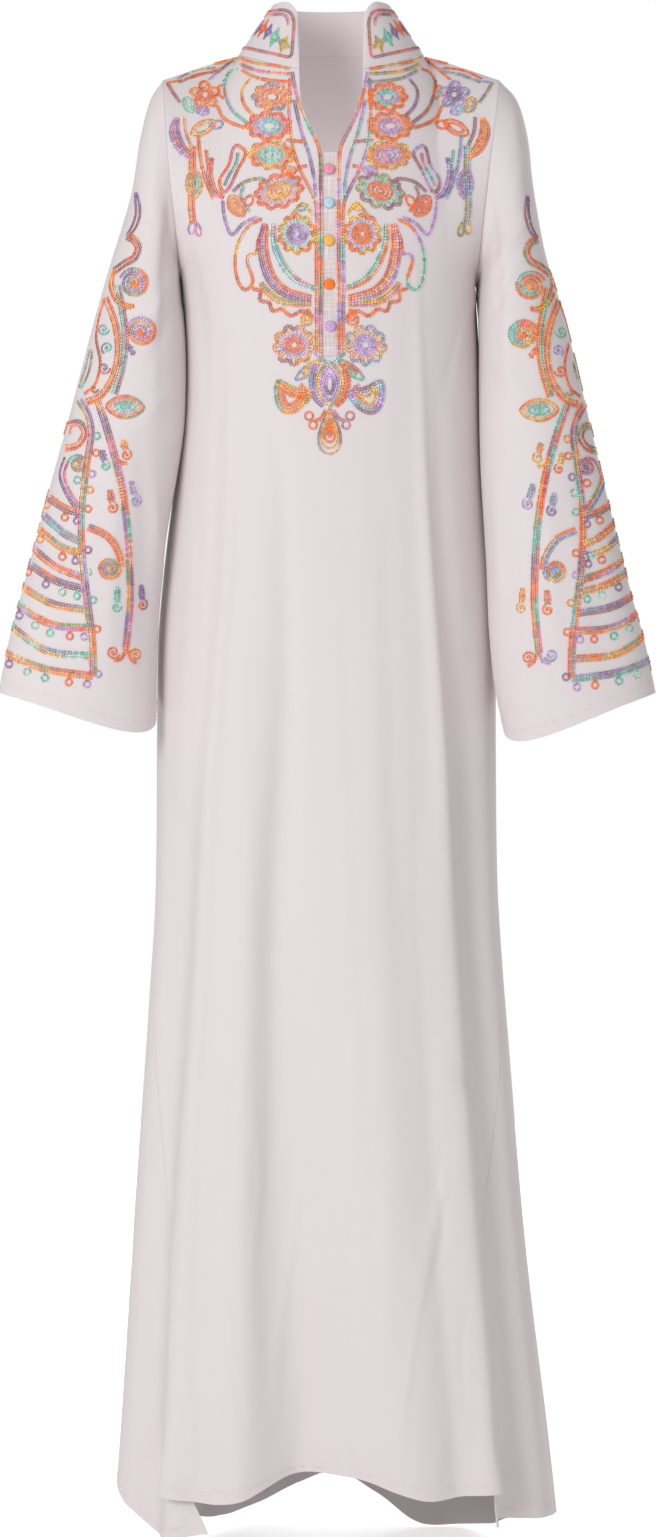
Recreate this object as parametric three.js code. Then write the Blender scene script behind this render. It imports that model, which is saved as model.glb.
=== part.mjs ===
import * as THREE from 'three';

// Ankle-length abaya, worn open at the throat, filled out with nobody in it.
// Millimetres, +Z up. The front faces -Y and +X is on the viewer's right.
// The origin is the middle of the neck base, level with the two high points of the shoulders.
// Heights in the tables are given as "down", the distance below the origin.

// Driving sizes
const wall = 1.5;
const collarWall = 2;
const seamGap = 0.3;
const neck = { halfWidth: 89, front: 78, back: 62, frontDrop: 22, backRise: 8, edgeX: 30 };
const shoulder = { x: 160, down: 22 };
const armhole = { x: 140, down: 217, halfDepth: 64 };
const slit = { halfWidth: 9, down: 290, plain: 110 };
const squareness = 2.3;

// Side slits: where they begin and have opened, how far the front's edge lifts and the back's
// sinks and swings, and the share of a panel's half width from which its edge starts to do so
const sideSlit = {
  down: 1295, open: 1320, parting: 40,
  lift: 5, liftFrom: 0.7, sink: 9, sinkFrom: 0.72, sinkTo: 0.95, swing: 14,
};

// Yoke: the neckline's share of the top edge, how the shoulder seam bends, how far the centre
// line stands out, and how fast the neckline and the armhole fade into the panel
const yoke = { neckShare: 0.56, shoulderBend: 1.15, centreBulge: 9, neckFade: 2, armholeFade: 2.2 };

// Horizontal sections of the body: half width, front and back depth, sideways shift
const bodyRows = [
  { down: 217, halfWidth: 140, front: 114, back: 101, shift: 0 },
  { down: 300, halfWidth: 143, front: 118, back: 102, shift: 2.5 },
  { down: 400, halfWidth: 149, front: 118, back: 101, shift: 1 },
  { down: 490, halfWidth: 158, front: 118, back: 105, shift: -1 },
  { down: 560, halfWidth: 163, front: 120, back: 110, shift: -2 },
  { down: 660, halfWidth: 164, front: 123, back: 115, shift: -2.5 },
  { down: 800, halfWidth: 166, front: 127, back: 121, shift: -2 },
  { down: 908, halfWidth: 173, front: 131, back: 127, shift: -1 },
  { down: 1105, halfWidth: 187, front: 139, back: 141, shift: 1 },
  { down: 1309, halfWidth: 204, front: 146, back: 156, shift: 6 },
  { down: 1480, halfWidth: 220, front: 151, back: 168, shift: 9 },
];

// The side seams, as angles round the body from the front centre. Below the hip they come
// forward, because the back panel is the fuller one and wraps round the sides.
const seamRows = [
  { down: 217, left: 90, right: 90 },
  { down: 600, left: 89, right: 89 },
  { down: 800, left: 81, right: 80 },
  { down: 1000, left: 67, right: 65 },
  { down: 1200, left: 52, right: 49 },
  { down: 1320, left: 47.5, right: 44 },
  { down: 1480, left: 47, right: 43 },
];

// Hems, down against the angle round the body
const frontHem = [
  { angle: -50, down: 1368 }, { angle: -34, down: 1372 }, { angle: -26, down: 1370 },
  { angle: -21, down: 1366 }, { angle: -16, down: 1356 }, { angle: -11, down: 1348 },
  { angle: -3, down: 1345 }, { angle: 6, down: 1349 }, { angle: 13, down: 1358 },
  { angle: 21, down: 1366 }, { angle: 32, down: 1365 }, { angle: 46, down: 1363 },
];
const backHem = [
  { angle: 40, down: 1400 }, { angle: 60, down: 1404 }, { angle: 78, down: 1409 },
  { angle: 93, down: 1421 }, { angle: 108, down: 1434 }, { angle: 122, down: 1445 },
  { angle: 136, down: 1462 }, { angle: 150, down: 1473 }, { angle: 162, down: 1470 },
  { angle: 172, down: 1437 }, { angle: 180, down: 1412 }, { angle: 188, down: 1426 },
  { angle: 197, down: 1451 }, { angle: 207, down: 1461 }, { angle: 220, down: 1453 },
  { angle: 240, down: 1428 }, { angle: 258, down: 1394 }, { angle: 272, down: 1379 },
  { angle: 285, down: 1397 }, { angle: 298, down: 1417 }, { angle: 313, down: 1413 },
  { angle: 328, down: 1403 },
];

// Folds that hang from the chest and shoulder blades: a bump of the given half width in
// degrees that grows from the height "from" to its full depth at the hem; minus is a trough.
const folds = [
  { top: -35, hem: -46, halfWidth: 13, depth: 11, from: 280 },
  { top: -54, hem: -63, halfWidth: 15, depth: -17, from: 300 },
  { top: -80, hem: -84, halfWidth: 13, depth: 6, from: 640 },
  { top: 36, hem: 41, halfWidth: 12, depth: 13, from: 250 },
  { top: 55, hem: 56, halfWidth: 15, depth: -24, from: 300 },
  { top: -14, hem: -9, halfWidth: 13, depth: -30, from: 430 },
  { top: -6, hem: 1, halfWidth: 15, depth: -19, from: 430 },
  { top: -26, hem: -27, halfWidth: 12, depth: 9, from: 400 },
  { top: 14, hem: 20, halfWidth: 13, depth: 8, from: 400 },
  { top: 104, hem: 106, halfWidth: 15, depth: 9, from: 520 },
  { top: 126, hem: 127, halfWidth: 14, depth: -20, from: 330 },
  { top: 146, hem: 148, halfWidth: 13, depth: 14, from: 300 },
  { top: 174, hem: 181, halfWidth: 15, depth: -28, from: 360 },
  { top: 196, hem: 201, halfWidth: 13, depth: 12, from: 330 },
  { top: 216, hem: 222, halfWidth: 14, depth: -20, from: 300 },
  { top: 236, hem: 241, halfWidth: 15, depth: 11, from: 480 },
];
const foldGrowth = 1.2;

// Sleeves, from the armhole to the cuff: the outer and inner line, how far forward the arm
// hangs, half the front-to-back depth, and how much lower the front of the opening is.
const leftSleeve = [
  { outerX: 160, outerDown: 22, innerX: 140, innerDown: 217, forward: 0, halfDepth: 64, droop: 0 },
  { outerX: 173, outerDown: 42, innerX: 141, innerDown: 219, forward: 2, halfDepth: 66, droop: 0 },
  { outerX: 180, outerDown: 78, innerX: 140.5, innerDown: 224, forward: 7, halfDepth: 66, droop: 0 },
  { outerX: 185, outerDown: 118, innerX: 140, innerDown: 233, forward: 14, halfDepth: 64, droop: 0 },
  { outerX: 195, outerDown: 157, innerX: 138, innerDown: 250, forward: 22, halfDepth: 62, droop: 0 },
  { outerX: 207, outerDown: 196, innerX: 136, innerDown: 276, forward: 29, halfDepth: 60, droop: 0 },
  { outerX: 221, outerDown: 245, innerX: 135.5, innerDown: 309, forward: 35, halfDepth: 58, droop: 0 },
  { outerX: 235, outerDown: 298, innerX: 137, innerDown: 349, forward: 40, halfDepth: 57, droop: 0.9 },
  { outerX: 249, outerDown: 351, innerX: 143.5, innerDown: 393, forward: 43, halfDepth: 56, droop: 1.8 },
  { outerX: 264, outerDown: 404, innerX: 152, innerDown: 439, forward: 46, halfDepth: 55, droop: 3.6 },
  { outerX: 279, outerDown: 460, innerX: 159, innerDown: 488, forward: 49, halfDepth: 54, droop: 5.4 },
  { outerX: 293, outerDown: 512, innerX: 162, innerDown: 539, forward: 51, halfDepth: 53, droop: 7.2 },
  { outerX: 305, outerDown: 557, innerX: 164, innerDown: 587, forward: 52, halfDepth: 52, droop: 8.1 },
  { outerX: 315, outerDown: 605, innerX: 165, innerDown: 629, forward: 53, halfDepth: 51, droop: 9 },
];
const rightSleeve = [
  { outerX: 160, outerDown: 22, innerX: 140, innerDown: 217, forward: 0, halfDepth: 64, droop: 0 },
  { outerX: 178, outerDown: 42, innerX: 141.5, innerDown: 219, forward: 2, halfDepth: 66, droop: 0 },
  { outerX: 189, outerDown: 78, innerX: 141.5, innerDown: 224, forward: 7, halfDepth: 66, droop: 0 },
  { outerX: 194, outerDown: 118, innerX: 141.5, innerDown: 233, forward: 15, halfDepth: 64, droop: 0 },
  { outerX: 200, outerDown: 157, innerX: 141.5, innerDown: 250, forward: 24, halfDepth: 62, droop: 0 },
  { outerX: 208, outerDown: 196, innerX: 142, innerDown: 276, forward: 32, halfDepth: 60, droop: 0 },
  { outerX: 223, outerDown: 245, innerX: 142, innerDown: 309, forward: 38, halfDepth: 58, droop: 0 },
  { outerX: 236, outerDown: 298, innerX: 142.5, innerDown: 349, forward: 44, halfDepth: 57, droop: 0.9 },
  { outerX: 248, outerDown: 351, innerX: 144, innerDown: 393, forward: 49, halfDepth: 56, droop: 1.8 },
  { outerX: 260, outerDown: 404, innerX: 147, innerDown: 441, forward: 54, halfDepth: 55, droop: 3.6 },
  { outerX: 274, outerDown: 460, innerX: 150, innerDown: 491, forward: 58, halfDepth: 54, droop: 5.4 },
  { outerX: 288, outerDown: 515, innerX: 152, innerDown: 543, forward: 60, halfDepth: 53, droop: 7.2 },
  { outerX: 300, outerDown: 556, innerX: 157, innerDown: 594, forward: 60, halfDepth: 52, droop: 8.1 },
  { outerX: 311, outerDown: 605, innerX: 166, innerDown: 638, forward: 59, halfDepth: 51, droop: 9 },
];

// The neck and shoulders lean a little to the viewer's right
const swayRows = [{ down: 20, x: 2 }, { down: 60, x: 1.4 }, { down: 110, x: 0 }];
const sleeveClearance = { least: 1.4, perMillimetre: 0.03 };

// The droop of a sleeve's front, in powers of how far a point lies to the front and inwards
const droopShape = { round: 0.7, inward: 1.5 };

// Half width of the neck opening down the front, from the collar to the closed slit
const throatRows = [
  { down: 20, halfWidth: 30 }, { down: 45, halfWidth: 28.5 }, { down: 65, halfWidth: 24 },
  { down: 82, halfWidth: 16.5 }, { down: 98, halfWidth: 10 }, { down: slit.plain, halfWidth: 9 },
  { down: armhole.down, halfWidth: 9 },
];

// Stand collar; cornerShares are the columns that follow its rounded front corner
const collar = {
  halfWidth: 56, front: 55, back: 46, rise: 48, baseGap: 0.45, cornerRadius: 22, meanRadius: 62,
  cornerShares: [0, 0.018, 0.045, 0.09],
};

// Strip behind the slit, from the yoke row where it begins to its lower end
const placket = { overlap: 0.06, wall: 1.2, firstRow: 4, end: 312 };

// Thread buttons from the top down, and the shares of the radius and thickness in their profile
const button = { radius: 5.5, thickness: 3.2, sides: 14 };
const buttonRows = [
  { down: 115, colour: 0xc98aa6 }, { down: 146.5, colour: 0xa9c6d6 }, { down: 181.5, colour: 0xe6bd63 },
  { down: 222, colour: 0xe8763a }, { down: 261, colour: 0xb598d4 },
];
const buttonProfile = [
  { out: 0, up: 0 }, { out: 0.86, up: 0 }, { out: 1, up: 0.4 },
  { out: 0.82, up: 0.82 }, { out: 0.4, up: 1 }, { out: 0, up: 1 },
];

// How finely each piece is divided
const count = {
  yokeRows: 10, skirtRows: 18, frontHalf: 15, frontHemRows: 2, backHalf: 20, backHemRows: 4,
  sleeveRows: 15, sleeveSides: 22, collarSide: 10, collarRows: 3,
};
// Levels whose seam angles the last hem row of each panel takes
const hemLevel = { front: 1370, back: 1420 };

const cloth = new THREE.MeshStandardMaterial({ color: 0xe2dadb, roughness: 0.9, metalness: 0 });
const stripCloth = new THREE.MeshStandardMaterial({ color: 0xdcd4d6, roughness: 0.9, metalness: 0 });

const radians = THREE.MathUtils.degToRad;
const mix = THREE.MathUtils.lerp;

// Smooth curve through one column of a table: cubic pieces with finite-difference slopes.
function tableCurve(rows, key, value) {
  const slope = (i) => {
    const a = rows[Math.max(i - 1, 0)];
    const b = rows[Math.min(i + 1, rows.length - 1)];
    return (b[value] - a[value]) / (b[key] - a[key]);
  };
  return (at) => {
    const t = Math.min(Math.max(at, rows[0][key]), rows[rows.length - 1][key]);
    let i = 0;
    while (i < rows.length - 2 && t > rows[i + 1][key]) i += 1;
    const span = rows[i + 1][key] - rows[i][key];
    const u = (t - rows[i][key]) / span;
    const rise = rows[i + 1][value] - rows[i][value];
    const first = slope(i) * span;
    const last = slope(i + 1) * span;
    return rows[i][value] + u * first + u * u * (3 * rise - 2 * first - last)
      + u * u * u * (first + last - 2 * rise);
  };
}

const bodyAt = Object.fromEntries(['halfWidth', 'front', 'back', 'shift']
  .map((name) => [name, tableCurve(bodyRows, 'down', name)]));
const seamAt = {
  left: tableCurve(seamRows, 'down', 'left'),
  right: tableCurve(seamRows, 'down', 'right'),
};
const frontHemAt = tableCurve(frontHem, 'angle', 'down');
const backHemAt = tableCurve(backHem, 'angle', 'down');
const throatAt = tableCurve(throatRows, 'down', 'halfWidth');
const swayAt = tableCurve(swayRows, 'down', 'x');
const swayed = (point) => point.setX(point.x + swayAt(-point.z));

function ramp(value, low, high) {
  return THREE.MathUtils.smoothstep(value, low, high);
}

// Outward shift of the folds at an angle and height: raised-cosine bumps
function foldShift(angle, down) {
  const full = bodyRows[bodyRows.length - 1].down;
  return folds.reduce((sum, fold) => {
    const grown = Math.min(Math.max((down - fold.from) / (full - fold.from), 0), 1);
    const centre = mix(fold.top, fold.hem, grown);
    const away = THREE.MathUtils.euclideanModulo(angle - centre + 180, 360) - 180;
    const q = Math.min(Math.abs(away) / fold.halfWidth, 1);
    return sum + fold.depth * grown ** foldGrowth * (1 + Math.cos(Math.PI * q)) / 2;
  }, 0);
}

// Point of the body at an angle round it and a height, moved out by "lift"; the section is a
// superellipse and the folds move it along the section's own normal.
function bodyPoint(angle, down, lift = 0) {
  const turn = radians(angle);
  const power = 2 / squareness;
  const side = Math.sign(Math.sin(turn)) * Math.pow(Math.abs(Math.sin(turn)), power);
  const ahead = Math.sign(Math.cos(turn)) * Math.pow(Math.abs(Math.cos(turn)), power);
  const halfWidth = bodyAt.halfWidth(down);
  const depth = ahead > 0 ? bodyAt.front(down) : bodyAt.back(down);
  const out = bodyNormal(angle, down);
  const base = new THREE.Vector3(bodyAt.shift(down) + halfWidth * side, -depth * ahead, -down);
  return base.addScaledVector(out, foldShift(angle, down) + lift);
}

function bodyNormal(angle, down) {
  const turn = radians(angle);
  const depth = Math.cos(turn) > 0 ? bodyAt.front(down) : bodyAt.back(down);
  return new THREE.Vector3(Math.sin(turn) / bodyAt.halfWidth(down), -Math.cos(turn) / depth, 0)
    .normalize();
}

// Neckline: from the front edge of the collar round the high point of the shoulder to the back
function neckPoint(angle) {
  const turn = radians(angle);
  const ahead = Math.cos(turn);
  const x = neck.halfWidth * Math.sin(turn);
  if (ahead > 0) return new THREE.Vector3(x, -neck.front * ahead, -neck.frontDrop * ahead * ahead);
  return new THREE.Vector3(x, -neck.back * ahead, neck.backRise * ahead * ahead);
}
const neckEdgeAngle = THREE.MathUtils.radToDeg(Math.asin(neck.edgeX / neck.halfWidth));

// Armhole: half an ellipse from the shoulder tip (0) to the underarm (1)
function armholePoint(v, facing) {
  const turn = Math.PI * v;
  const middle = (shoulder.down + armhole.down) / 2;
  const half = (armhole.down - shoulder.down) / 2;
  const x = (shoulder.x + armhole.x) / 2 + (shoulder.x - armhole.x) / 2 * Math.cos(turn);
  return new THREE.Vector3(x, facing * armhole.halfDepth * Math.sin(turn), half * Math.cos(turn) - middle);
}

// Half a yoke, right side: a Coons patch between the centre line, the armhole, the neckline
// with the shoulder seam, and the chest section. The neckline's corner fades out down the
// panel, and the armhole's curve fades out towards the centre. facing is -1 at the front and 1 at the back.
function yokePoint(s, v, facing) {
  const start = facing < 0 ? neckEdgeAngle : 180;
  const onTop = (across) => {
    if (across <= yoke.neckShare) return neckPoint(mix(start, 90, across / yoke.neckShare));
    const t = (across - yoke.neckShare) / (1 - yoke.neckShare);
    return new THREE.Vector3(mix(neck.halfWidth, shoulder.x, t), 0, -shoulder.down * t ** yoke.shoulderBend);
  };
  const centreAngle = facing < 0 ? slitAngle(armhole.down) : 180;
  const onChest = (across) => bodyPoint(mix(centreAngle, 90, across), armhole.down);
  const onCentre = (fall) => {
    const a = onTop(0);
    const b = onChest(0);
    const down = mix(-a.z, armhole.down, fall);
    const x = facing < 0 ? throatAt(down) : 0;
    const bulge = yoke.centreBulge * Math.sin(Math.PI * fall);
    return new THREE.Vector3(x, mix(a.y, b.y, fall) + facing * bulge, -down);
  };
  const fading = (1 - v) ** yoke.neckFade;
  const growing = 1 - fading;
  const near = s ** yoke.armholeFade;
  const far = 1 - near;
  const point = onCentre(v).multiplyScalar(far).addScaledVector(armholePoint(v, facing), near);
  point.addScaledVector(onTop(s), fading).addScaledVector(onChest(s), growing);
  point.addScaledVector(onTop(0), -far * fading).addScaledVector(onTop(1), -near * fading);
  return point.addScaledVector(onChest(0), -far * growing).addScaledVector(onChest(1), -near * growing);
}

// The angle of the slit's edge, half its width off the centre line
function slitAngle(down) {
  return THREE.MathUtils.radToDeg(Math.asin(
    Math.pow(slit.halfWidth / bodyAt.halfWidth(down), squareness / 2)));
}

// A wall from rows of points: the points are its outer face and the inner one lies a wall's
// thickness behind them. closed joins the last column to the first, hole leaves cells out and
// normalAt may give a seam both its pieces' common direction.
function thickSheet(rows, thickness, { closed = false, hole = () => false, normalAt = () => null } = {}) {
  const across = rows[0].length;
  const cellsAcross = closed ? across : across - 1;
  const index = (i, j) => i * across + (j % across);
  const outer = rows.flat();
  const normals = outer.map(() => new THREE.Vector3());
  const cells = [];
  for (let i = 0; i < rows.length - 1; i += 1) {
    for (let j = 0; j < cellsAcross; j += 1) {
      if (!hole(i, j)) cells.push([index(i, j), index(i + 1, j), index(i + 1, j + 1), index(i, j + 1)]);
    }
  }
  const edge = new THREE.Vector3();
  const other = new THREE.Vector3();
  cells.forEach((cell) => {
    edge.subVectors(outer[cell[2]], outer[cell[0]]);
    other.subVectors(outer[cell[3]], outer[cell[1]]);
    const face = new THREE.Vector3().crossVectors(edge, other);
    cell.forEach((corner) => normals[corner].add(face));
  });
  normals.forEach((normal, k) => {
    const given = normalAt(Math.floor(k / across), k % across);
    if (given) normal.copy(given);
    normal.normalize();
  });
  const total = outer.length;
  const inner = outer.map((point, k) => point.clone().addScaledVector(normals[k], -thickness));
  const triangles = [];
  const directed = new Map();
  cells.forEach(([a, b, c, d]) => {
    triangles.push([a, b, c], [a, c, d]);
    triangles.push([a + total, c + total, b + total], [a + total, d + total, c + total]);
    [[a, b], [b, c], [c, d], [d, a]].forEach(([from, to]) => directed.set(`${from}_${to}`, [from, to]));
  });
  directed.forEach(([from, to]) => {
    if (directed.has(`${to}_${from}`)) return;
    triangles.push([to, from, from + total], [to, from + total, to + total]);
  });
  return solidFrom([...outer, ...inner], triangles);
}

// Geometry that keeps only the points its triangles use
function solidFrom(points, triangles) {
  const used = new Map();
  const positions = [];
  const indices = triangles.flat().map((k) => {
    if (!used.has(k)) {
      used.set(k, used.size);
      positions.push(points[k].x, points[k].y, points[k].z);
    }
    return used.get(k);
  });
  const geometry = new THREE.BufferGeometry();
  geometry.setAttribute('position', new THREE.Float32BufferAttribute(positions, 3));
  geometry.setIndex(indices);
  geometry.computeVertexNormals();
  return geometry;
}

const mirrored = (point) => new THREE.Vector3(-point.x, point.y, point.z);

// Heights that both panels share below the yoke, down to where the side slits have opened
const sharedDowns = [armhole.down, mix(armhole.down, slit.down, 0.5), slit.down, placket.end];
for (let i = 1; i <= count.skirtRows; i += 1) {
  sharedDowns.push(mix(placket.end, sideSlit.down, i / count.skirtRows));
}
sharedDowns.push(sideSlit.open);

const halfGapAngle = (down) => THREE.MathUtils.radToDeg(seamGap / 2 / bodyAt.halfWidth(down));

// Front columns run over s from the left seam (-1) to the right one (1); the slit's two edges
// and the centre line are columns of their own.
const frontAcross = [];
for (let j = 1; j < count.frontHalf; j += 1) {
  frontAcross.push(mix(placket.overlap, 1, (j - 1) / (count.frontHalf - 2)));
}
const frontColumns = [...frontAcross.map((s) => -s).reverse(), -0, 'centre', 0, ...frontAcross];
const centreColumn = frontAcross.length + 1;

function frontAngle(j, down) {
  if (j === centreColumn) return 0;
  const right = j > centreColumn;
  const s = Math.abs(frontColumns[j]);
  const seam = (right ? seamAt.right(down) : seamAt.left(down)) - halfGapAngle(down);
  return (right ? 1 : -1) * mix(slitAngle(down), seam, s);
}

// How far a side slit has parted at a height, from 0 to 1
const partedAt = (down) => ramp(down, sideSlit.down, sideSlit.open + sideSlit.parting);

function frontRows() {
  const lifted = (j, down) => sideSlit.lift * partedAt(down)
    * ramp(j === centreColumn ? 0 : Math.abs(frontColumns[j]), sideSlit.liftFrom, 1);
  const rows = [];
  for (let i = 0; i < count.yokeRows; i += 1) {
    rows.push(frontColumns.map((s, j) => {
      if (j === centreColumn) return swayed(yokePoint(0, i / count.yokeRows, -1).setX(0));
      const point = yokePoint(Math.abs(s), i / count.yokeRows, -1);
      point.y -= Math.abs(s) > yoke.neckShare && i === 0 ? seamGap / 2 : 0;
      return swayed(j < centreColumn ? mirrored(point) : point);
    }));
  }
  sharedDowns.forEach((down) => {
    rows.push(frontColumns.map((s, j) => bodyPoint(frontAngle(j, down), down, lifted(j, down))));
  });
  for (let i = 1; i <= count.frontHemRows; i += 1) {
    const share = i / count.frontHemRows;
    rows.push(frontColumns.map((s, j) => {
      const angle = frontAngle(j, mix(sideSlit.open, hemLevel.front, share));
      const down = mix(sideSlit.open, frontHemAt(angle), share);
      return bodyPoint(angle, down, lifted(j, down));
    }));
  }
  return rows;
}

const slitEndRow = count.yokeRows + sharedDowns.indexOf(slit.down);
const slitOpenRow = count.yokeRows + sharedDowns.indexOf(sideSlit.open);

// Seams lie in one common plane: at the shoulder straight down, at the side across the seam.
function seamNormal(i, edge, angleAt, onShoulder) {
  if (i === 0 && onShoulder) return new THREE.Vector3(0, 0, 1);
  const k = i - count.yokeRows;
  if (!edge || k < 0 || i > slitOpenRow) return null;
  return bodyNormal(angleAt(sharedDowns[k]), sharedDowns[k]);
}

function front(rows) {
  const last = frontColumns.length - 1;
  return thickSheet(rows, wall, {
    hole: (i, j) => i < slitEndRow && (j === centreColumn - 1 || j === centreColumn),
    normalAt: (i, j) => seamNormal(i, j === 0 || j === last, (down) => frontAngle(j, down),
      j !== centreColumn && Math.abs(frontColumns[j]) >= yoke.neckShare),
  });
}

// Back columns run from the right seam over the back to the left seam, angles 90 to 270
function backAngle(u, down, swing = 0) {
  const right = seamAt.right(down) + halfGapAngle(down);
  const left = seamAt.left(down) + halfGapAngle(down) - swing;
  return u < 0 ? mix(180, right, -u) : mix(180, 360 - left, u);
}

function back() {
  const columns = [];
  for (let j = -count.backHalf; j <= count.backHalf; j += 1) columns.push(j / count.backHalf);
  const rows = [];
  for (let i = 0; i < count.yokeRows; i += 1) {
    rows.push(columns.map((u) => {
      const point = yokePoint(Math.abs(u), i / count.yokeRows, 1);
      point.y += Math.abs(u) > yoke.neckShare && i === 0 ? seamGap / 2 : 0;
      return swayed(u > 0 ? mirrored(point) : point);
    }));
  }
  const lowered = (u, down) => -sideSlit.sink * partedAt(down)
    * ramp(Math.abs(u), sideSlit.sinkFrom, sideSlit.sinkTo);
  sharedDowns.forEach((down) => {
    rows.push(columns.map((u) => bodyPoint(backAngle(u, down), down, lowered(u, down))));
  });
  for (let i = 1; i <= count.backHemRows; i += 1) {
    const share = i / count.backHemRows;
    rows.push(columns.map((u) => {
      const swing = sideSlit.swing * share * ramp(u, sideSlit.liftFrom, 1);
      const angle = backAngle(u, mix(sideSlit.open, hemLevel.back, share), swing);
      const down = mix(sideSlit.open, backHemAt(angle), share);
      return bodyPoint(angle, down, lowered(u, down));
    }));
  }
  const last = columns.length - 1;
  return thickSheet(rows, wall, {
    normalAt: (i, j) => seamNormal(i, j === 0 || j === last, (down) => backAngle(columns[j], down),
      Math.abs(columns[j]) >= yoke.neckShare),
  });
}

// Keeps a sleeve point outside the body's section: it is pushed sideways until it is clear.
function clearOfBody(point, side) {
  const down = -point.z;
  if (down < armhole.down) return point;
  const depth = point.y < 0 ? bodyAt.front(down) : bodyAt.back(down);
  const share = Math.min(Math.abs(point.y) / depth, 1);
  const bodyX = bodyAt.halfWidth(down) * Math.pow(1 - Math.pow(share, squareness), 1 / squareness);
  const clear = Math.min(sleeveClearance.least,
    seamGap + (down - armhole.down) * sleeveClearance.perMillimetre);
  const least = bodyX + clear + side * bodyAt.shift(down);
  point.x = side * Math.max(side * point.x, least);
  return point;
}

// A sleeve: elliptical rings from the armhole to the wide cuff, side -1 left and 1 right. The
// wall's edge at the armhole lies in the armhole's own plane, so it stays clear of the panels.
function sleeve(table, side) {
  const keyed = table.map((row, i) => ({ ...row, at: i / (table.length - 1) }));
  const at = Object.fromEntries(Object.keys(table[0]).map((name) => [name, tableCurve(keyed, 'at', name)]));
  const rows = [];
  for (let i = 0; i <= count.sleeveRows; i += 1) {
    const t = i / count.sleeveRows;
    const row = [];
    for (let j = 0; j < count.sleeveSides; j += 1) {
      const turn = 2 * Math.PI * j / count.sleeveSides;
      const c = Math.cos(turn);
      const s = -side * Math.sin(turn);
      const x = mix(at.innerX(t), at.outerX(t), (1 + c) / 2) + (i === 0 ? seamGap : 0);
      const y = -at.forward(t) - at.halfDepth(t) * s;
      const down = mix(at.innerDown(t), at.outerDown(t), (1 + c) / 2)
        + at.droop(t) * Math.sign(s) * Math.abs(s) ** droopShape.round * (1 - c) ** droopShape.inward;
      row.push(clearOfBody(swayed(new THREE.Vector3(side * x, y, -down)), side));
    }
    rows.push(row);
  }
  const half = (armhole.down - shoulder.down) / 2;
  const middle = (armhole.down + shoulder.down) / 2;
  const inPlane = ({ y, z }) => new THREE.Vector3(0, y / armhole.halfDepth ** 2, (z + middle) / half ** 2);
  return thickSheet(rows, wall, { closed: true, normalAt: (i, j) => (i === 0 ? inPlane(rows[0][j]) : null) });
}

// Stand collar: a band between the neckline and a smaller ring, open at the front, its two
// front top corners rounded by a quarter circle.
function standCollar() {
  const topEdge = THREE.MathUtils.radToDeg(Math.asin(neck.edgeX / collar.halfWidth));
  const shares = [...collar.cornerShares];
  const reached = shares[shares.length - 1];
  for (let j = 1; j <= count.collarSide; j += 1) shares.push(mix(reached, 0.5, j / count.collarSide));
  const columns = [...shares, ...shares.slice(0, -1).reverse().map((share) => 1 - share)];
  const ringLength = 2 * Math.PI * collar.meanRadius * (1 - topEdge / 180);
  const rows = [];
  for (let i = 0; i <= count.collarRows; i += 1) {
    rows.push(columns.map((share) => {
      const base = neckPoint(mix(neckEdgeAngle, 360 - neckEdgeAngle, share));
      const turn = radians(mix(topEdge, 360 - topEdge, share));
      const ahead = Math.cos(turn);
      const top = new THREE.Vector3(collar.halfWidth * Math.sin(turn),
        -(ahead > 0 ? collar.front : collar.back) * ahead, collar.rise);
      const fromEdge = Math.min(share, 1 - share) * ringLength;
      const short = Math.max(collar.cornerRadius - fromEdge, 0);
      const cut = collar.cornerRadius - Math.sqrt(collar.cornerRadius ** 2 - short ** 2);
      top.z -= cut;
      base.z += collar.baseGap;
      return swayed(top.lerp(base, i / count.collarRows));
    }));
  }
  return thickSheet(rows, collarWall, {});
}

// Under placket: the strip behind the slit, made from the front panel's own points moved in
function underPlacket(rows) {
  const picked = [centreColumn - 2, centreColumn - 1, centreColumn, centreColumn + 1, centreColumn + 2];
  const strip = [];
  for (let i = placket.firstRow; i <= slitEndRow + 1; i += 1) {
    strip.push(picked.map((j) => rows[i][j].clone()));
    strip[strip.length - 1][2].lerpVectors(rows[i][centreColumn - 1], rows[i][centreColumn + 1], 0.5);
  }
  const behind = strip.map((row, i) => row.map((point) => {
    const above = strip[Math.max(i - 1, 0)][2];
    const below = strip[Math.min(i + 1, strip.length - 1)][2];
    const slope = Math.atan2(above.y - below.y, above.z - below.z);
    return point.clone().add(new THREE.Vector3(0, Math.cos(slope), -Math.sin(slope))
      .multiplyScalar(wall + seamGap));
  }));
  return { geometry: thickSheet(behind, placket.wall), rows: behind };
}

// Thread button: a low dome that stands on the under placket, facing out of it
function threadButton(placketRows, down) {
  const middles = placketRows.map((row) => row[2]);
  let i = 0;
  while (i < middles.length - 2 && -middles[i + 1].z < down) i += 1;
  const along = new THREE.Vector3().subVectors(middles[i + 1], middles[i]);
  const seat = middles[i].clone().addScaledVector(along, (-down - middles[i].z) / along.z);
  const out = new THREE.Vector3(0, along.z, -along.y).normalize();
  const profile = buttonProfile
    .map((row) => new THREE.Vector2(row.out * button.radius, row.up * button.thickness));
  const mesh = new THREE.Mesh(new THREE.LatheGeometry(profile, button.sides));
  mesh.quaternion.setFromUnitVectors(new THREE.Vector3(0, 1, 0), out);
  mesh.position.copy(seat).addScaledVector(out, seamGap);
  return mesh;
}

function named(name, geometry, material) {
  const mesh = new THREE.Mesh(geometry, material);
  mesh.name = name;
  return mesh;
}

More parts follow.
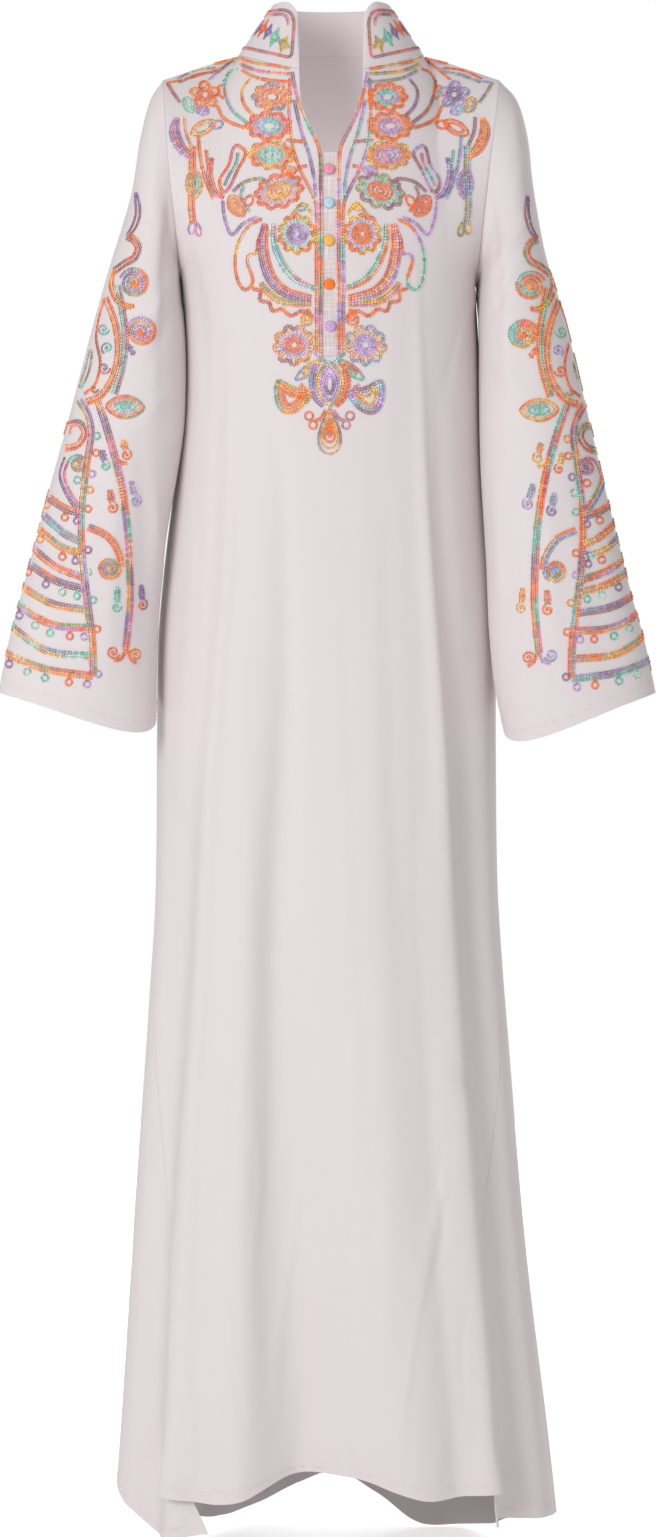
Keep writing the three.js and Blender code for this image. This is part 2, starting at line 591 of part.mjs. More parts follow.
const abaya = new THREE.Group();
const panelRows = frontRows();
const strip = underPlacket(panelRows);
abaya.add(
  named('front', front(panelRows), cloth),
  named('back', back(), cloth),
  named('sleeve_left', sleeve(leftSleeve, -1), cloth),
  named('sleeve_right', sleeve(rightSleeve, 1), cloth),
  named('collar', standCollar(), cloth),
  named('under_placket', strip.geometry, stripCloth),
);
buttonRows.forEach(({ down, colour }, i) => {
  const mesh = threadButton(strip.rows, down);
  mesh.name = `button_${i + 1}`;
  mesh.material = new THREE.MeshStandardMaterial({ color: colour, roughness: 0.7, metalness: 0 });
  abaya.add(mesh);
});

export default abaya;
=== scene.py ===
"""Ankle-length linen abaya with chain-stitch embroidery, filled out with nobody in it.

Lengths in the tables are millimetres in the frame of the part: x to the viewer's right, the front faces -y,
and "down" is the distance below the origin, which is the middle of the neck base. Places of motifs are given
in the front view, in its picture's own units across and down, and each is carried along the line of sight to
the cloth.
"""

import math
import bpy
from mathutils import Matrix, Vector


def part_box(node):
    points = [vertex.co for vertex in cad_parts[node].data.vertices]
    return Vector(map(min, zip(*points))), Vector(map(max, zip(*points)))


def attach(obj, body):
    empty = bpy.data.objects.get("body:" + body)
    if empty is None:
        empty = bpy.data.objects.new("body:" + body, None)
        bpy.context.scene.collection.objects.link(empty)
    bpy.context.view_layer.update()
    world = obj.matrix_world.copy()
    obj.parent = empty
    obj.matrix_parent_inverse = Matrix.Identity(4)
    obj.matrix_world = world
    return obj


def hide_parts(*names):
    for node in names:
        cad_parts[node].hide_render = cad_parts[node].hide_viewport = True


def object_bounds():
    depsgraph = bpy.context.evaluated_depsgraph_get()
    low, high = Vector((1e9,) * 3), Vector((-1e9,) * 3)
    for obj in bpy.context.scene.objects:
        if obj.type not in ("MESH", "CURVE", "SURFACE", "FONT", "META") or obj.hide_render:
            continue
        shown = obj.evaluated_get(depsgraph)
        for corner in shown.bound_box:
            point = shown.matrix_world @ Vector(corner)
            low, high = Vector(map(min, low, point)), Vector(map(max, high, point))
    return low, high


bl_info = {
    "name": "Abaya",
    "version": (1, 0, 0),
    "blender": (4, 5, 0),
    "location": "View3D > Sidebar > Abaya",
    "description": "Linen abaya with a stand collar, side slits and chain-stitch embroidery",
    "category": "Object",
}

import bpy
import numpy as np
from mathutils import Vector

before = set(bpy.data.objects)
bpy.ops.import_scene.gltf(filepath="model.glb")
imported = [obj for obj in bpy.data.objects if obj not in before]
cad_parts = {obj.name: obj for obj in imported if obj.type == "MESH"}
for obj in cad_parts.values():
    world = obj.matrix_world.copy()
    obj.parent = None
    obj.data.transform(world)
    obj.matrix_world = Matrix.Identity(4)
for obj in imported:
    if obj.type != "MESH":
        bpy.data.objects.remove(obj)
CAD_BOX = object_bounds()
MM = 0.001


def table(columns, *rows):
    """Rows of numbers under named columns, as a dict of arrays."""
    return dict(zip(columns.split(), np.array(rows, float).T))


# The garment's driving sizes
NECK = dict(half_width=89, front=78, back=62, front_drop=22, back_rise=8, edge_x=30)
SHOULDER = dict(x=160, down=22)
ARMHOLE = dict(x=140, down=217, half_depth=64)
SLIT = dict(half_width=9, down=290)
SIDE_SLIT = dict(down=1295, open=1320, lift=5, sink=9, swing=14, ease=40)
COLLAR = dict(half_width=56, front=55, back=46, rise=48, corner=22, ring=62, seam=0.45)
SQUARENESS = 2.3
NECK_SHARE = 0.56
FRONT_HEM_REACH = 50
BACK_HEM_REACH = 100
SEAM_GAP = 0.3
SLEEVE_CLEARANCE = dict(least=1.4, per_mm=0.03)

BODY = table(
    "down half_width front back shift",
    (217, 140, 114, 101, 0), (300, 143, 118, 102, 2.5), (400, 149, 118, 101, 1), (490, 158, 118, 105, -1),
    (560, 163, 120, 110, -2), (660, 164, 123, 115, -2.5), (800, 166, 127, 121, -2), (908, 173, 131, 127, -1),
    (1105, 187, 139, 141, 1), (1309, 204, 146, 156, 6), (1480, 220, 151, 168, 9),
)
SEAMS = table(
    "down left right",
    (217, 90, 90), (600, 89, 89), (800, 81, 80), (1000, 67, 65), (1200, 52, 49), (1320, 47.5, 44), (
        1480, 47, 43
    ),
)
FRONT_HEM = table(
    "angle down",
    (-50, 1368), (-34, 1372), (-26, 1370), (-21, 1366), (-16, 1356), (-11, 1348), (-3, 1345), (6, 1349),
    (13, 1358), (21, 1366), (32, 1365), (46, 1363),
)
BACK_HEM = table(
    "angle down",
    (40, 1400), (60, 1404), (78, 1409), (93, 1421), (108, 1434), (122, 1445), (136, 1462), (150, 1473),
    (162, 1470), (172, 1437), (180, 1412), (188, 1426), (197, 1451), (207, 1461), (220, 1453), (240, 1428),
    (258, 1394), (272, 1379), (285, 1397), (298, 1417), (313, 1413), (328, 1403),
)
FOLDS = table(
    "top hem half_width depth start",
    (-35, -46, 13, 11, 280), (-54, -63, 15, -17, 300), (-80, -84, 13, 6, 640), (36, 41, 12, 13, 250),
    (55, 56, 15, -24, 300), (-14, -9, 13, -30, 430), (-6, 1, 15, -19, 430), (-26, -27, 12, 9, 400),
    (14, 20, 13, 8, 400), (104, 106, 15, 9, 520), (126, 127, 14, -20, 330), (146, 148, 13, 14, 300),
    (174, 181, 15, -28, 360), (196, 201, 13, 12, 330), (216, 222, 14, -20, 300), (236, 241, 15, 11, 480),
)
SWAY = table("down x", (20, 2), (60, 1.4), (110, 0))
THROAT = table("down x", (20, 30), (45, 28.5), (65, 24), (82, 16.5), (98, 10), (110, 9), (217, 9))
SLEEVE_COLUMNS = "outer_x outer_down inner_x inner_down forward half_depth droop"
SLEEVES = {
    -1: table(
        SLEEVE_COLUMNS,
        (160, 22, 140, 217, 0, 64, 0), (173, 42, 141, 219, 2, 66, 0), (180, 78, 140.5, 224, 7, 66, 0),
        (185, 118, 140, 233, 14, 64, 0), (195, 157, 138, 250, 22, 62, 0), (207, 196, 136, 276, 29, 60, 0),
        (221, 245, 135.5, 309, 35, 58, 0), (235, 298, 137, 349, 40, 57, 0.9), (
            249, 351, 143.5, 393, 43, 56, 1.8
        ),
        (264, 404, 152, 439, 46, 55, 3.6), (279, 460, 159, 488, 49, 54, 5.4), (
            293, 512, 162, 539, 51, 53, 7.2
        ),
        (305, 557, 164, 587, 52, 52, 8.1), (315, 605, 165, 629, 53, 51, 9),
    ),
    1: table(
        SLEEVE_COLUMNS,
        (160, 22, 140, 217, 0, 64, 0), (178, 42, 141.5, 219, 2, 66, 0), (189, 78, 141.5, 224, 7, 66, 0),
        (194, 118, 141.5, 233, 15, 64, 0), (200, 157, 141.5, 250, 24, 62, 0), (208, 196, 142, 276, 32, 60, 0),
        (223, 245, 142, 309, 38, 58, 0), (236, 298, 142.5, 349, 44, 57, 0.9), (
            248, 351, 144, 393, 49, 56, 1.8
        ),
        (260, 404, 147, 441, 54, 55, 3.6), (274, 460, 150, 491, 58, 54, 5.4), (
            288, 515, 152, 543, 60, 53, 7.2
        ),
        (300, 556, 157, 594, 60, 52, 8.1), (311, 605, 166, 638, 59, 51, 9),
    ),
}
for sleeve_rows in SLEEVES.values():
    sleeve_rows["at"] = np.linspace(0, 1, sleeve_rows["outer_x"].size)

# The front view: where the eye is, where it looks, and how large a unit of the picture is there
VIEW = dict(
    eye=(0.0, -3600.0, -413.3), aim=(0.0, 0.0, -682.3), unit=0.97, centre=(329.0, 768.5), size=(656, 1537)
)


def curve_through(rows, key, value):
    """Cubic pieces through one column of a table; a row's slope is that of the line between its
    neighbours."""
    k, v = rows[key], rows[value]
    before = np.maximum(np.arange(k.size) - 1, 0)
    after = np.minimum(np.arange(k.size) + 1, k.size - 1)
    slope = (v[after] - v[before]) / (k[after] - k[before])

    def at(place):
        place = np.clip(place, k[0], k[-1])
        i = np.clip(np.searchsorted(k, place, side="right") - 1, 0, k.size - 2)
        span = k[i + 1] - k[i]
        t = (place - k[i]) / span
        rise = v[i + 1] - v[i]
        first, last = slope[i] * span, slope[i + 1] * span
        return v[i] + t * first + t * t * (3 * rise - 2 * first - last) + t**3 * (first + last - 2 * rise)

    return at


body_at = {name: curve_through(BODY, "down", name) for name in ("half_width", "front", "back", "shift")}
seam_at = {-1: curve_through(SEAMS, "down", "left"), 1: curve_through(SEAMS, "down", "right")}
front_hem_at = curve_through(FRONT_HEM, "angle", "down")
back_hem_at = curve_through(BACK_HEM, "angle", "down")
throat_at = curve_through(THROAT, "down", "x")
sway_at = curve_through(SWAY, "down", "x")
sleeve_at = {
    side: {name: curve_through(rows, "at", name) for name in SLEEVE_COLUMNS.split()}
    for side, rows in SLEEVES.items()
}


def mix(a, b, t):
    """Straight from a, where t is 0, to b, where it is 1."""
    return a + (b - a) * t


def ramp(value, low, high):
    """Smooth step from 0 at low to 1 at high."""
    t = np.clip((value - low) / (high - low), 0, 1)
    return t * t * (3 - 2 * t)


def unit(vectors):
    """Vectors brought to length 1."""
    return vectors / np.maximum(np.linalg.norm(vectors, axis=-1, keepdims=True), 1e-9)


def stack(*parts):
    """Arrays of one shape, or brought to one, joined along a new last axis."""
    return np.stack(np.broadcast_arrays(*parts), axis=-1)


def swayed(points):
    """Points moved sideways as the neck leans in the photo, by the table SWAY."""
    points = points.copy()
    points[..., 0] += sway_at(-points[..., 2])
    return points


def fold_shift(angle, down):
    """Sum of raised-cosine bumps; each grows from its starting height to its full depth at the hem."""
    total = np.zeros(np.broadcast(angle, down).shape)
    for top, hem, half_width, depth, start in zip(*FOLDS.values()):
        grown = np.clip((down - start) / (BODY["down"][-1] - start), 0, 1)
        away = np.mod(angle - mix(top, hem, grown) + 180, 360) - 180
        q = np.minimum(np.abs(away) / half_width, 1)
        total += depth * grown**1.2 * 0.5 * (1 + np.cos(np.pi * q))
    return total


def body_point(angle, down, lift=0.0):
    """Superellipse section at a height, moved along its own normal by the folds and by lift."""
    turn = np.radians(angle)
    sine, cosine = np.sin(turn), np.cos(turn)
    power = 2 / SQUARENESS
    half_width = body_at["half_width"](down)
    depth = np.where(cosine > 0, body_at["front"](down), body_at["back"](down))
    x = body_at["shift"](down) + half_width * np.sign(sine) * np.abs(sine) ** power
    y = -depth * np.sign(cosine) * np.abs(cosine) ** power
    out = unit(stack(sine / half_width, -cosine / depth, 0.0 * sine))
    return stack(x, y, -down) + out * (fold_shift(angle, down) + lift)[..., None]


def neck_point(angle):
    """Neckline: an ellipse seen from above that drops at the front and rises at the back."""
    turn = np.radians(angle)
    ahead = np.cos(turn)
    y = np.where(ahead > 0, -NECK["front"] * ahead, -NECK["back"] * ahead)
    z = np.where(ahead > 0, -NECK["front_drop"] * ahead**2, NECK["back_rise"] * ahead**2)
    return stack(NECK["half_width"] * np.sin(turn), y, z)


NECK_EDGE = math.degrees(math.asin(NECK["edge_x"] / NECK["half_width"]))


def armhole_point(v, facing):
    """Half an ellipse from the shoulder tip (0) to the underarm (1); facing is -1 at the front."""
    turn = np.pi * v
    middle, half = (SHOULDER["down"] + ARMHOLE["down"]) / 2, (ARMHOLE["down"] - SHOULDER["down"]) / 2
    x = (SHOULDER["x"] + ARMHOLE["x"]) / 2 + (SHOULDER["x"] - ARMHOLE["x"]) / 2 * np.cos(turn)
    return stack(x, facing * ARMHOLE["half_depth"] * np.sin(turn), half * np.cos(turn) - middle)


def slit_angle(down):
    """Angle round the body at which the section is as far out as half the slit's width."""
    return np.degrees(np.arcsin((SLIT["half_width"] / body_at["half_width"](down)) ** (SQUARENESS / 2)))


def yoke_point(s, v, facing):
    """Coons patch, right half: centre line to armhole over s, neckline and shoulder seam to chest over v.

    The neckline's corner fades out down the panel as (1 - v)^2 and the armhole's curve towards the centre as
    s^2.2.
    """
    start = NECK_EDGE if facing < 0 else 180.0
    centre_angle = slit_angle(ARMHOLE["down"]) if facing < 0 else 180.0

    def on_top(across):
        t = np.clip((across - NECK_SHARE) / (1 - NECK_SHARE), 0, 1)
        seam = stack(mix(NECK["half_width"], SHOULDER["x"], t), 0.0 * t, -SHOULDER["down"] * t**1.15)
        return np.where(
            (across <= NECK_SHARE)[..., None], neck_point(mix(start, 90, across / NECK_SHARE)), seam
        )

    def on_chest(across):
        return body_point(mix(centre_angle, 90, across), np.full(np.shape(across), float(ARMHOLE["down"])))

    zero, one = np.zeros(np.shape(s)), np.ones(np.shape(s))
    high, low = on_top(zero), on_chest(zero)
    down = mix(-high[..., 2], ARMHOLE["down"], v)
    x = throat_at(down) if facing < 0 else 0.0 * down
    centre = stack(x, mix(high[..., 1], low[..., 1], v) + facing * 9 * np.sin(np.pi * v), -down)
    fading = ((1 - v) ** 2)[..., None]
    growing = 1 - fading
    near = (np.clip(s, 0, None) ** 2.2)[..., None]
    far = 1 - near
    return (
        centre * far + armhole_point(v, facing) * near + on_top(s) * fading + on_chest(s) * growing
        - high * far * fading - on_top(one) * near * fading
        - low * far * growing - on_chest(one) * near * growing
    )


def front_surface(s, w, side):
    """Front panel's outer face: s from the centre (0) to the side seam (1), w is 217 times the yoke's share
    down to 217, then the distance down, and past the side slit's opening the share of the hem's reach."""
    s, w, side = np.broadcast_arrays(np.asarray(s, float), np.asarray(w, float), np.asarray(side, float))
    v = np.clip(w / ARMHOLE["down"], 0, 1)
    yoke = yoke_point(s, v, -1)
    yoke[..., 0] *= side
    yoke = swayed(yoke)
    share = np.clip((w - SIDE_SLIT["open"]) / FRONT_HEM_REACH, 0, 1)
    reach = np.clip(w, ARMHOLE["down"], None)
    seam = np.where(side > 0, seam_at[1](reach), seam_at[-1](reach))
    half_gap = np.degrees(SEAM_GAP / 2 / body_at["half_width"](reach))
    angle = side * mix(slit_angle(reach), seam - half_gap, s)
    down = np.where(share > 0, mix(SIDE_SLIT["open"], front_hem_at(angle), share), reach)
    lift = SIDE_SLIT["lift"] * ramp(down, SIDE_SLIT["down"], SIDE_SLIT["open"] + SIDE_SLIT["ease"]) * ramp(
        s, 0.7, 1
    )
    return np.where((w < ARMHOLE["down"])[..., None], yoke, body_point(angle, down, lift))


def back_surface(u, w):
    """Back panel's outer face: u from the right seam (-1) over the spine (0) to the left seam (1); w as at
    the front. Below the slits its left edge swings under the front panel and both edges sink behind it."""
    u, w = np.broadcast_arrays(np.asarray(u, float), np.asarray(w, float))
    across = np.abs(u)
    yoke = yoke_point(across, np.clip(w / ARMHOLE["down"], 0, 1), 1)
    yoke[..., 0] *= np.where(u > 0, -1, 1)
    yoke = swayed(yoke)
    share = np.clip((w - SIDE_SLIT["open"]) / BACK_HEM_REACH, 0, 1)
    reach = np.clip(w, ARMHOLE["down"], None)
    half_gap = np.degrees(SEAM_GAP / 2 / body_at["half_width"](reach))
    swing = SIDE_SLIT["swing"] * share * ramp(u, 0.7, 1)
    right = mix(180, seam_at[1](reach) + half_gap, -u)
    left = mix(180, 360 - seam_at[-1](reach) - half_gap + swing, u)
    angle = np.where(u < 0, right, left)
    down = np.where(share > 0, mix(SIDE_SLIT["open"], back_hem_at(angle), share), reach)
    sunk = SIDE_SLIT["sink"] * ramp(down, SIDE_SLIT["down"], SIDE_SLIT["open"] + SIDE_SLIT["ease"])
    return np.where(
        (w < ARMHOLE["down"])[..., None], yoke, body_point(angle, down, -sunk * ramp(across, 0.72, 0.95))
    )


def sleeve_surface(t, turn, side):
    """Sleeve's outer face: elliptical rings from armhole (t 0) to cuff (1); turn is 0 on the outer line,
    positive over the front and negative over the back. It is pushed sideways until it is clear of the
    body."""
    t, turn = np.broadcast_arrays(np.asarray(t, float), np.asarray(turn, float))
    at = {name: column(t) for name, column in sleeve_at[side].items()}
    c, s = np.cos(turn), np.sin(turn)
    x = mix(at["inner_x"], at["outer_x"], (1 + c) / 2) + SEAM_GAP * (t < 0.02)
    y = -at["forward"] - at["half_depth"] * s
    down = mix(at["inner_down"], at["outer_down"], (1 + c) / 2)
    down = down + at["droop"] * np.sign(s) * np.abs(s) ** 0.7 * (1 - c) ** 1.5
    points = swayed(stack(side * x, y, -down))
    depth = np.where(y < 0, body_at["front"](down), body_at["back"](down))
    share = np.clip(np.abs(y) / depth, 0, 1)
    body_x = body_at["half_width"](down) * (1 - share**SQUARENESS) ** (1 / SQUARENESS)
    clear = np.minimum(
        SLEEVE_CLEARANCE["least"], SEAM_GAP + (down - ARMHOLE["down"]) * SLEEVE_CLEARANCE["per_mm"]
    )
    least = body_x + clear + side * body_at["shift"](down)
    pushed = side * np.maximum(side * points[..., 0], least)
    points[..., 0] = np.where(down >= ARMHOLE["down"], pushed, points[..., 0])
    return points


def collar_surface(share, rise):
    """Stand collar's outer face: share runs round from the right front edge, rise from the neckline (0) to
    the top ring (1); each front top corner is cut to a quarter circle."""
    share, rise = np.broadcast_arrays(np.asarray(share, float), np.asarray(rise, float))
    edge = math.degrees(math.asin(NECK["edge_x"] / COLLAR["half_width"]))
    base = neck_point(mix(NECK_EDGE, 360 - NECK_EDGE, share)) + np.array((0, 0, COLLAR["seam"]))
    turn = np.radians(mix(edge, 360 - edge, share))
    depth = np.where(np.cos(turn) > 0, COLLAR["front"], COLLAR["back"])
    away = np.minimum(share, 1 - share) * 2 * np.pi * COLLAR["ring"] * (1 - edge / 180)
    short = np.clip(COLLAR["corner"] - away, 0, None)
    cut = COLLAR["corner"] - np.sqrt(COLLAR["corner"] ** 2 - short**2)
    top = stack(COLLAR["half_width"] * np.sin(turn), -depth * np.cos(turn), COLLAR["rise"] - cut)
    return swayed(mix(base, top, rise[..., None]))


def seen_at(points):
    """Where points appear in the front view, in its units across and down."""
    eye, aim = np.array(VIEW["eye"]), np.array(VIEW["aim"])
    ahead = unit(aim - eye)
    across = np.array((1.0, 0.0, 0.0))
    up = np.cross(across, ahead)
    focal = np.linalg.norm(aim - eye) / VIEW["unit"]
    rays = points - eye
    depth = rays @ ahead
    return stack(
        VIEW["centre"][0] + focal * (rays @ across) / depth, VIEW["centre"][1] - focal * (rays @ up) / depth
    )


def pinned(surface, places, guess, low, high, steps=(0.002, 0.5), limits=(0.15, 30)):
    """The two parameters of a surface at which it appears at the given places: Newton's method on all at
    once."""
    a, b = (np.clip(g, lo, hi) for g, lo, hi in zip(guess, low, high))
    for _ in range(24):
        here = seen_at(surface(a, b))
        da = (seen_at(surface(a + steps[0], b)) - here) / steps[0]
        db = (seen_at(surface(a, b + steps[1])) - here) / steps[1]
        miss = places - here
        area = da[..., 0] * db[..., 1] - da[..., 1] * db[..., 0]
        area = np.where(np.abs(area) < 1e-3, 1e-3, area)
        move_a = (miss[..., 0] * db[..., 1] - miss[..., 1] * db[..., 0]) / area
        move_b = (miss[..., 1] * da[..., 0] - miss[..., 0] * da[..., 1]) / area
        a = np.clip(a + np.clip(move_a, -limits[0], limits[0]), low[0], high[0])
        b = np.clip(b + np.clip(move_b, -limits[1], limits[1]), low[1], high[1])
    return a, b


# Creases in the front view: (half width, height, steepness, points). Height is in millimetres and minus is a
# trough; steepness above 0 makes the flank on the right of the path the steeper one.
FRONT_CREASES = [
    (9, 3.4, 0.5, ((234, 330), (229, 560), (211, 780), (200, 1000), (190, 1130), (181, 1300), (160, 1500))),
    (9, -3.0, 0.0, ((220, 330), (213, 560), (196, 780), (185, 1000), (175, 1130), (166, 1260))),
    (15, -5.6, 0.0, ((276, 430), (285, 560), (287, 707), (275, 927), (274, 1128), (271, 1277), (272, 1440))),
    (7, 3.8, 0.6, ((417, 270), (423, 450), (428, 542), (441, 725), (450, 853), (458, 980), (465, 1100))),
    (8, 3.2, 0.6, ((464, 1080), (472, 1150), (488, 1333), (491, 1426), (496, 1496))),
    (11, -4.4, 0.0, ((436, 380), (446, 560), (458, 707), (466, 908), (480, 1080))),
    (5, -2.0, 0.0, ((448, 1062), (462, 1077), (474, 1090))),
    (7, 1.8, 0.3, ((446, 1170), (432, 1235), (416, 1310))),
    (8, 1.4, 0.0, ((192, 540), (183, 720), (174, 900))),
    (10, 1.5, 0.2, ((330, 520), (340, 760), (350, 1000), (362, 1300), (368, 1500))),
    (12, -1.8, 0.0, ((385, 480), (392, 760), (404, 1050), (412, 1400))),
    (6, 1.6, 0.4, ((175, 240), (188, 300), (196, 380))),
    (6, -1.6, 0.0, ((183, 230), (200, 300), (207, 400))),
    (5, 1.5, 0.3, ((482, 284), (466, 320), (452, 372))),
    (5, -1.4, 0.0, ((468, 305), (454, 352), (444, 400))),
    (6, 1.2, 0.0, ((300, 1180), (285, 1290), (272, 1420))),
    (5, 1.1, 0.3, ((208, 1240), (226, 1300), (232, 1370))),
    (5, -1.0, 0.0, ((222, 1340), (240, 1400), (244, 1470))),
    (6, 1.2, 0.2, ((178, 1330), (190, 1400), (192, 1480))),
    (3.5, -1.0, 0.3, ((240, 1060), (230, 1130), (226, 1190), (236, 1250))),
    (3.5, 0.9, 0.0, ((250, 1120), (262, 1160), (258, 1220), (248, 1290))),
    (3.5, -0.9, 0.3, ((444, 1150), (438, 1180), (444, 1230), (430, 1290))),
    (3, 0.8, 0.0, ((428, 1260), (416, 1330), (405, 1400), (396, 1460))),
    (3, -0.7, 0.2, ((470, 1300), (462, 1350), (466, 1410))),
    (3, 0.8, 0.2, ((166, 1180), (172, 1240), (170, 1310))),
    (3, -0.8, 0.0, ((214, 1400), (200, 1440), (180, 1468))),
]

# The same for the back, in millimetres: x to the viewer's right and the distance down
BACK_CREASES = [
    (10, 2.4, 0.4, ((-92, 250), (-100, 480), (-110, 760), (-122, 1050), (-132, 1380))),
    (15, -3.0, 0.0, ((-58, 330), (-62, 620), (-70, 900), (-76, 1180), (-80, 1440))),
    (9, 2.4, -0.4, ((-28, 300), (-32, 560), (-40, 850), (-46, 1160), (-50, 1450))),
    (14, -2.8, 0.0, ((6, 280), (2, 560), (-2, 850), (-4, 1150), (-6, 1400))),
    (9, 2.2, 0.5, ((40, 280), (44, 540), (52, 830), (60, 1140), (66, 1440))),
    (14, -2.8, 0.0, ((84, 260), (88, 520), (96, 830), (106, 1140), (114, 1430))),
    (9, 2.0, 0.4, ((112, 300), (120, 560), (132, 860), (146, 1160), (156, 1400))),
    (7, 1.6, 0.3, ((-120, 236), (-96, 300), (-78, 380))),
    (7, 1.6, 0.3, ((120, 236), (98, 300), (82, 380))),
    (6, -1.4, 0.0, ((-112, 262), (-90, 330), (-72, 420))),
    (6, -1.4, 0.0, ((112, 262), (92, 330), (76, 420))),
    (9, 1.5, 0.0, ((-70, 60), (-40, 110), (0, 128), (40, 110), (70, 60))),
    (6, 1.2, 0.2, ((60, 1120), (82, 1210), (90, 1320))),
    (6, -1.2, 0.0, ((-30, 1100), (-52, 1210), (-60, 1340))),
]

# Sleeve creases in the front view; the back half of each sleeve repeats them
SLEEVE_CREASES = {
    -1: [
        (7, 2.4, 0.4, ((168, 170), (160, 240), (156, 330), (152, 430))),
        (6, -2.2, 0.0, ((172, 200), (164, 260), (163, 330))),
        (6, 2.0, 0.4, ((181, 262), (160, 300), (140, 352))),
        (5, -1.7, 0.0, ((180, 300), (164, 330), (148, 370))),
        (6, 2.2, 0.4, ((156, 480), (158, 540), (160, 600))),
        (9, -1.8, 0.0, ((140, 430), (144, 520), (146, 620), (146, 700))),
        (8, 1.6, 0.3, ((116, 470), (112, 570), (108, 690))),
        (9, -1.6, 0.0, ((84, 440), (72, 560), (62, 680))),
        (7, 1.5, 0.0, ((150, 110), (140, 160), (138, 210))),
        (6, 1.6, 0.2, ((182, 380), (160, 400), (136, 430))),
    ],
    1: [
        (7, 2.4, -0.4, ((492, 170), (502, 240), (506, 330), (508, 430))),
        (6, -2.2, 0.0, ((492, 205), (500, 260), (501, 330))),
        (6, 2.2, -0.4, ((486, 286), (506, 250), (530, 213))),
        (5, -1.8, 0.0, ((488, 318), (508, 290), (532, 262))),
        (6, 1.8, -0.3, ((488, 360), (506, 372), (526, 398))),
        (6, 2.0, -0.4, ((494, 470), (498, 540), (500, 610))),
        (9, -1.8, 0.0, ((516, 430), (512, 520), (510, 620), (512, 710))),
        (8, 1.6, -0.3, ((544, 470), (550, 570), (556, 690))),
        (9, -1.6, 0.0, ((578, 440), (592, 560), (602, 680))),
        (7, 1.5, 0.0, ((512, 110), (520, 160), (522, 210))),
    ],
}


def smooth_path(points, per_span=8):
    """Dense points of a Catmull-Rom curve through a few places, shape (n, 2)."""
    knots = np.array(points, float)
    if len(knots) == 2:
        return mix(knots[0], knots[1], np.linspace(0, 1, per_span + 1)[:, None])
    padded = np.vstack([2 * knots[0] - knots[1], knots, 2 * knots[-1] - knots[-2]])
    t = np.linspace(0, 1, per_span, endpoint=False)[:, None]
    spans = [
        0.5 * (2 * b + (c - a) * t + (2 * a - 5 * b + 4 * c - d) * t**2 + (3 * b - a - 3 * c + d) * t**3)
        for a, b, c, d in zip(padded, padded[1:], padded[2:], padded[3:])
    ]
    return np.vstack([*spans, knots[-1:]])


def crease_relief(places, creases):
    """Height of the creases at places on a sheet: along its path each is a soft ridge or trough,
    exp(-(d/w)^2) over the distance d from the path, narrower on its steep side, and dies away towards both
    ends."""
    relief = np.zeros(places.shape[:-1])
    for half_width, height, steep, points in creases:
        path = smooth_path(points, 3)
        nearest = np.full(relief.shape, 1e9)
        along = np.zeros(relief.shape)
        side = np.zeros(relief.shape)
        for i, (a, b) in enumerate(zip(path, path[1:])):
            step = b - a
            t = np.clip(((places - a) @ step) / (step @ step), 0, 1)
            off = places - (a + t[..., None] * step)
            distance = np.hypot(off[..., 0], off[..., 1])
            closer = distance < nearest
            nearest = np.where(closer, distance, nearest)
            along = np.where(closer, (i + t) / (len(path) - 1), along)
            side = np.where(closer, np.sign(step[0] * off[..., 1] - step[1] * off[..., 0]), side)
        width = half_width * (1 + 0.45 * steep * side) * (0.75 + 0.5 * along)
        relief += height * np.exp(-((nearest / width) ** 2)) * np.sin(np.pi * np.clip(along, 0.02,
          0.98)) ** 0.6
    return relief


def crumple(u, v, seed, height):
    """Fine unevenness of worn linen: a sum of slanting sine waves of falling height, over the flat cloth."""
    waves, longest, falling = 9, 150, 0.78
    rng = np.random.default_rng(seed)
    total = np.zeros(np.broadcast(u, v).shape)
    for k in range(waves):
        length = longest * falling**k
        slant = rng.uniform(-0.5, 0.5)
        phase, bend = rng.uniform(0, 6.28, 2)
        wave = (u * np.cos(slant) + 0.28 * v * np.sin(slant)) / length * 6.28
        total += falling**k * np.sin(wave + phase + 1.3 * np.sin(v / (length * 2.1) + bend))
    return height * total / 2.2


# Embroidery. Shapes are laid out in the front view's units: ROW is the width of a row of stitches there.
# STITCH is a stitch's length in millimetres, and FINE the size of a small one as a share of it.
ROW = 4.1
STITCH = 2.9
FINE = 0.62
MIDDLE_LINE = 329
YOKE_MIRROR = (659, 0)
SLEEVE_MIRROR = (664, 3)
LOOP_RADIUS = 3.4
THREADS = dict(
    orange=(244, 128, 66), amber=(246, 160, 92), salmon=(246, 176, 144), coral=(236, 122, 82),
    brick=(194, 110, 86), pink=(224, 148, 172), rose=(212, 124, 138), mauve=(162, 112, 122),
    lilac=(194, 162, 206), purple=(150, 116, 160), blue=(156, 164, 192), sky=(176, 204, 218),
    teal=(130, 194, 178), mint=(174, 210, 196), olive=(170, 160, 112), mustard=(232, 180, 92),
    sand=(224, 188, 142), grey=(164, 156, 162), linen=(226, 216, 216),
)


def turned(points, x, y, tilt):
    """Points about the origin, turned clockwise on the picture by tilt degrees and moved to (x, y)."""
    a = math.radians(tilt)
    return points @ np.array(((math.cos(a), math.sin(a)), (-math.sin(a), math.cos(a)))) + (x, y)


def rings(outline, half, threads):
    """Rows inside one another: the outline shrunk towards its middle by a row's width at a time."""
    threads = threads.split("/")
    size = 1.0 if half > 12 else 0.75
    row = ROW * size
    count = max(int(half / row + 0.6), 1)
    return [
        (outline(max(1 - k * row / half, 0.14)), threads[min(k, len(threads) - 1)],
         size) for k in range(count)
    ]


